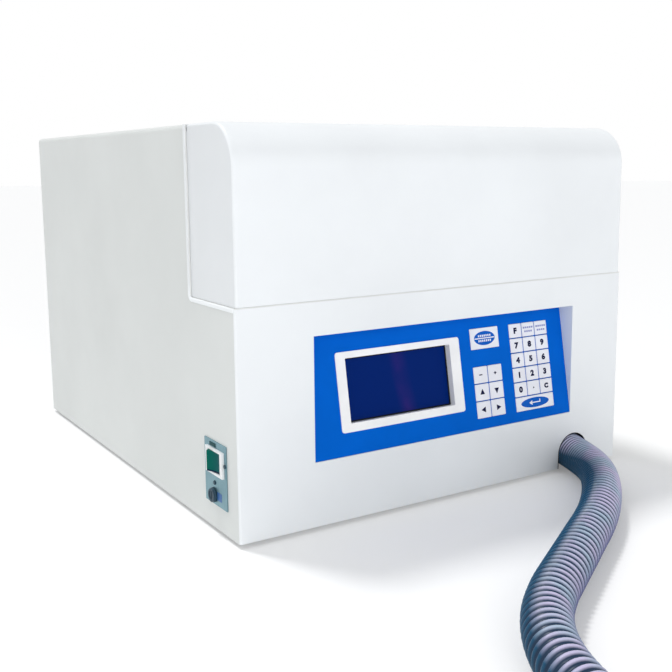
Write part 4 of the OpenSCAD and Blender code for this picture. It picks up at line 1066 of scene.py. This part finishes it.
class OVEN_OT_power(bpy.types.Operator):
    """Power plate with switch, rocker and fuse holder"""
    bl_idname = "oven.power"
    bl_label = "Power plate"

    pivot = Vector((-0.2416, -0.255, 0.0715))
    # Places on the plate along the depth and the height
    lamp_at, patch_at = (-0.2488, 0.0868), (-0.2612, 0.0382)
    screws_at = ((-0.2751, 0.0715), (-0.2515, 0.050))

    def execute(self, context):
        dressed("power_plate", "side_plate", "plate_grey", 0.0003, 2)
        dressed("switch_body", "switch_frame", "switch_white", 0.0007, 3)
        dressed("fuse_holder", "fuse_cap", "fuse_dark", 0.0004, 2)
        self.rocker()
        self.plate_detail()
        return {"FINISHED"}

    def rocker(self):
        """Curved rocker about its upright pivot, the rear end out"""
        tilt = math.radians(14)
        r, half, back, rise, dip = 12.6, 10.0, 2.5, 7.2, 5.6
        start, end = math.acos(-back/r), math.acos(rise/r)
        arc = [start + (end - start)*k/6 for k in range(7)]
        points = [(-r*math.cos(a), -r*math.sin(a)) for a in arc]
        reach = r*math.sin(end)
        points += [(-rise + (rise - dip)*(1 - t**2), reach*t) for t in (k/6 - 1 for k in range(1, 12))]
        points += [(-r*math.cos(a), r*math.sin(a)) for a in reversed(arc)]
        bm = drawn([(x*MM, y*MM) for x, y in points], low=-half*MM, high=half*MM)
        bmesh.ops.recalc_face_normals(bm, faces=bm.faces)
        soften(bm, 0.0003, 2, 40)
        for s in (-1, 1):
            pin = [(s*9.5*MM, 1.4*MM), (s*10.9*MM, 1.4*MM)]
            lathe(bm, pin, Vector(), UP, RIGHT, near=True, far=True)
        placed = Matrix.Translation(self.pivot) @ Matrix.Rotation(tilt, 4, "Z")
        bmesh.ops.transform(bm, matrix=placed, verts=bm.verts)
        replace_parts(piece("power_rocker", bm, "rocker_green", "rocker"), "rocker")

    def plate_detail(self):
        """A lamp lens, dark screws, the fuse holder's collar and a painted blue reflection beside the
        fuse cap, on the plate
        """
        face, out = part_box("power_plate")[0].x, -RIGHT
        bm = soften(drawn(bar(0.013, 0.0036), low=-0.0004, high=0.0006), 0.0004, 3)
        on_face(bm, Vector((face, *self.lamp_at)), ON_SIDE)
        piece("lamp_lens", bm, "indicator_teal")
        head = [(-0.0002, 0.0021), (0.0006, 0.0021), (0.0010, 0.0018), (0.0012, 0.0012),
                (0.0012, 0.0009), (0.0005, 0.0008)]
        bm = bmesh.new()
        for at in self.screws_at:
            lathe(bm, head, Vector((face, *at)), out, far=True)
        piece("plate_screws", bm, "screw_dark")
        low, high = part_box("fuse_holder")
        bm = bmesh.new()
        lathe(bm, [(-0.0002, 0.0066), (0.0006, 0.0072), (0.0014, 0.0072), (0.0019, 0.0068),
                   (0.0019, 0.0064)], Vector((face, *(low.yz + high.yz)/2)), out, n=48)
        piece("fuse_collar", bm, "screw_dark")
        # Painted reflection: a flat blue patch beside the fuse cap
        bm = drawn(bar(0.0095, 0.008), low=-0.0002, high=0.0002)
        on_face(bm, Vector((face, *self.patch_at)), ON_SIDE)
        piece("fuse_patch", bm, "fuse_reflection_blue")


class OVEN_OT_chamber(bpy.types.Operator):
    """Heated chamber with heaters, rails, tray and fan"""
    bl_idname = "oven.chamber"
    bl_label = "Chamber"

    probe_x, probe_z = -0.120, 0.305

    def execute(self, context):
        coat("chamber_liner", "stainless")
        coat("chamber_insulation", "mineral_wool")
        dressed("tray_rails", "slide_rails", "stainless", 0.0002, 1)
        dressed("board_tray", "wire_tray", "stainless", 0.0004, 2)
        dressed("convection_fan", "fan_wheel", "fan_steel", 0.0003, 1)
        dressed("convection_motor", "fan_motor", "motor_enamel", 0.0006, 2)
        self.heaters()
        self.probe()
        return {"FINISHED"}

    def heaters(self):
        """Milky quartz tubes with ceramic ends, steel clips and leads"""
        low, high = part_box("quartz_heaters")
        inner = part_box("chamber_liner")[1].x
        tubes, ends, clips = (bmesh.new() for _ in range(3))
        body = [(-0.030, 0.0052), (-0.029, 0.0066), (-0.026, 0.0070), (-0.004, 0.0070),
                (-0.0025, 0.0064), (-0.0025, 0.0016), (-0.0002, 0.0014), (-0.0002, 0.0002)]
        clip = [(-0.014, 0.0051), (-0.014, 0.0060), (-0.009, 0.0060), (-0.009, 0.0051)]
        for y, z in self.heater_axes():
            at = Vector((0, y, z))
            lathe(tubes, [(low.x + 0.022, 0.005), (high.x - 0.022, 0.005)], at, RIGHT)
            for s in (-1, 1):
                lathe(ends, [(high.x + a, r) for a, r in body], at, RIGHT*s)
                lathe(clips, [(inner + a, r) for a, r in clip], at, RIGHT*s)
        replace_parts(piece("heater_tubes", tubes, "quartz"), "quartz_heaters")
        piece("heater_ends", ends, "ceramic")
        piece("heater_clips", clips, "hinge_steel")

    def heater_axes(self):
        """The tubes' axes, from the middles of the CAD tubes"""
        tubes = []
        for spot in (v.co.yz for v in NODES["quartz_heaters"].data.vertices if v.co.x > 0.16):
            near = next((t for t in tubes if (t[0] - spot).length < 0.02), None)
            if near:
                near.append(spot)
            else:
                tubes.append([spot])
        for found in tubes:
            ys, zs = zip(*found)
            yield (min(ys) + max(ys))/2, (min(zs) + max(zs))/2

    def probe(self):
        """Thin temperature probe through the chamber's rear wall"""
        at = Vector((self.probe_x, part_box("chamber_liner")[1].y - 0.001, self.probe_z))
        bm = bmesh.new()
        lathe(bm, [(-0.002, 0.0045), (0.0025, 0.0045), (0.003, 0.004), (0.003, 0.0016),
                   (0.022, 0.0016), (0.0235, 0.0010)], at, FORWARD, far=True)
        piece("temperature_probe", bm, "hinge_steel")


class OVEN_OT_fume(bpy.types.Operator):
    """Fume blower and its pipes"""
    bl_idname = "oven.fume"
    bl_label = "Fume blower"

    def execute(self, context):
        coat("exhaust_blower", "motor_enamel")
        coat("exhaust_impeller", "black_plastic")
        coat("suction_pipe", "zinc_steel")
        coat("controller_board", "circuit_green")
        return {"FINISHED"}


class OVEN_PT_panel(bpy.types.Panel):
    """Lists the steps and their sizes and colours"""
    bl_idname = "OVEN_PT_panel"
    bl_label = "Reflow oven"
    bl_space_type = "VIEW_3D"
    bl_region_type = "UI"
    bl_category = "Oven"

    def draw(self, context):
        layout = self.layout
        for step in STEPS:
            layout.operator(step.bl_idname)
        for group in ("oven_form", "oven_colours", "oven_studio"):
            box = layout.box()
            values = getattr(context.scene, group)
            for name in values.__annotations__:
                box.prop(values, name)


STEPS = (OVEN_OT_stage, OVEN_OT_hose, OVEN_OT_casing, OVEN_OT_hood, OVEN_OT_console, OVEN_OT_keys,
         OVEN_OT_power, OVEN_OT_chamber, OVEN_OT_fume)
GROUPS = {"oven_form": OvenForm, "oven_colours": OvenColours, "oven_studio": OvenStudio}
CLASSES = (*GROUPS.values(), *STEPS, OVEN_PT_panel)


def register():
    for cls in CLASSES:
        bpy.utils.register_class(cls)
    for name, cls in GROUPS.items():
        setattr(bpy.types.Scene, name, PointerProperty(type=cls))


def unregister():
    for name in GROUPS:
        delattr(bpy.types.Scene, name)
    for cls in reversed(CLASSES):
        bpy.utils.unregister_class(cls)


def main():
    register()
    make_finishes(bpy.context.scene.oven_colours)
    for step in STEPS:
        group, call = step.bl_idname.split(".")
        getattr(getattr(bpy.ops, group), call)()


if __name__ == "__main__":
    main()
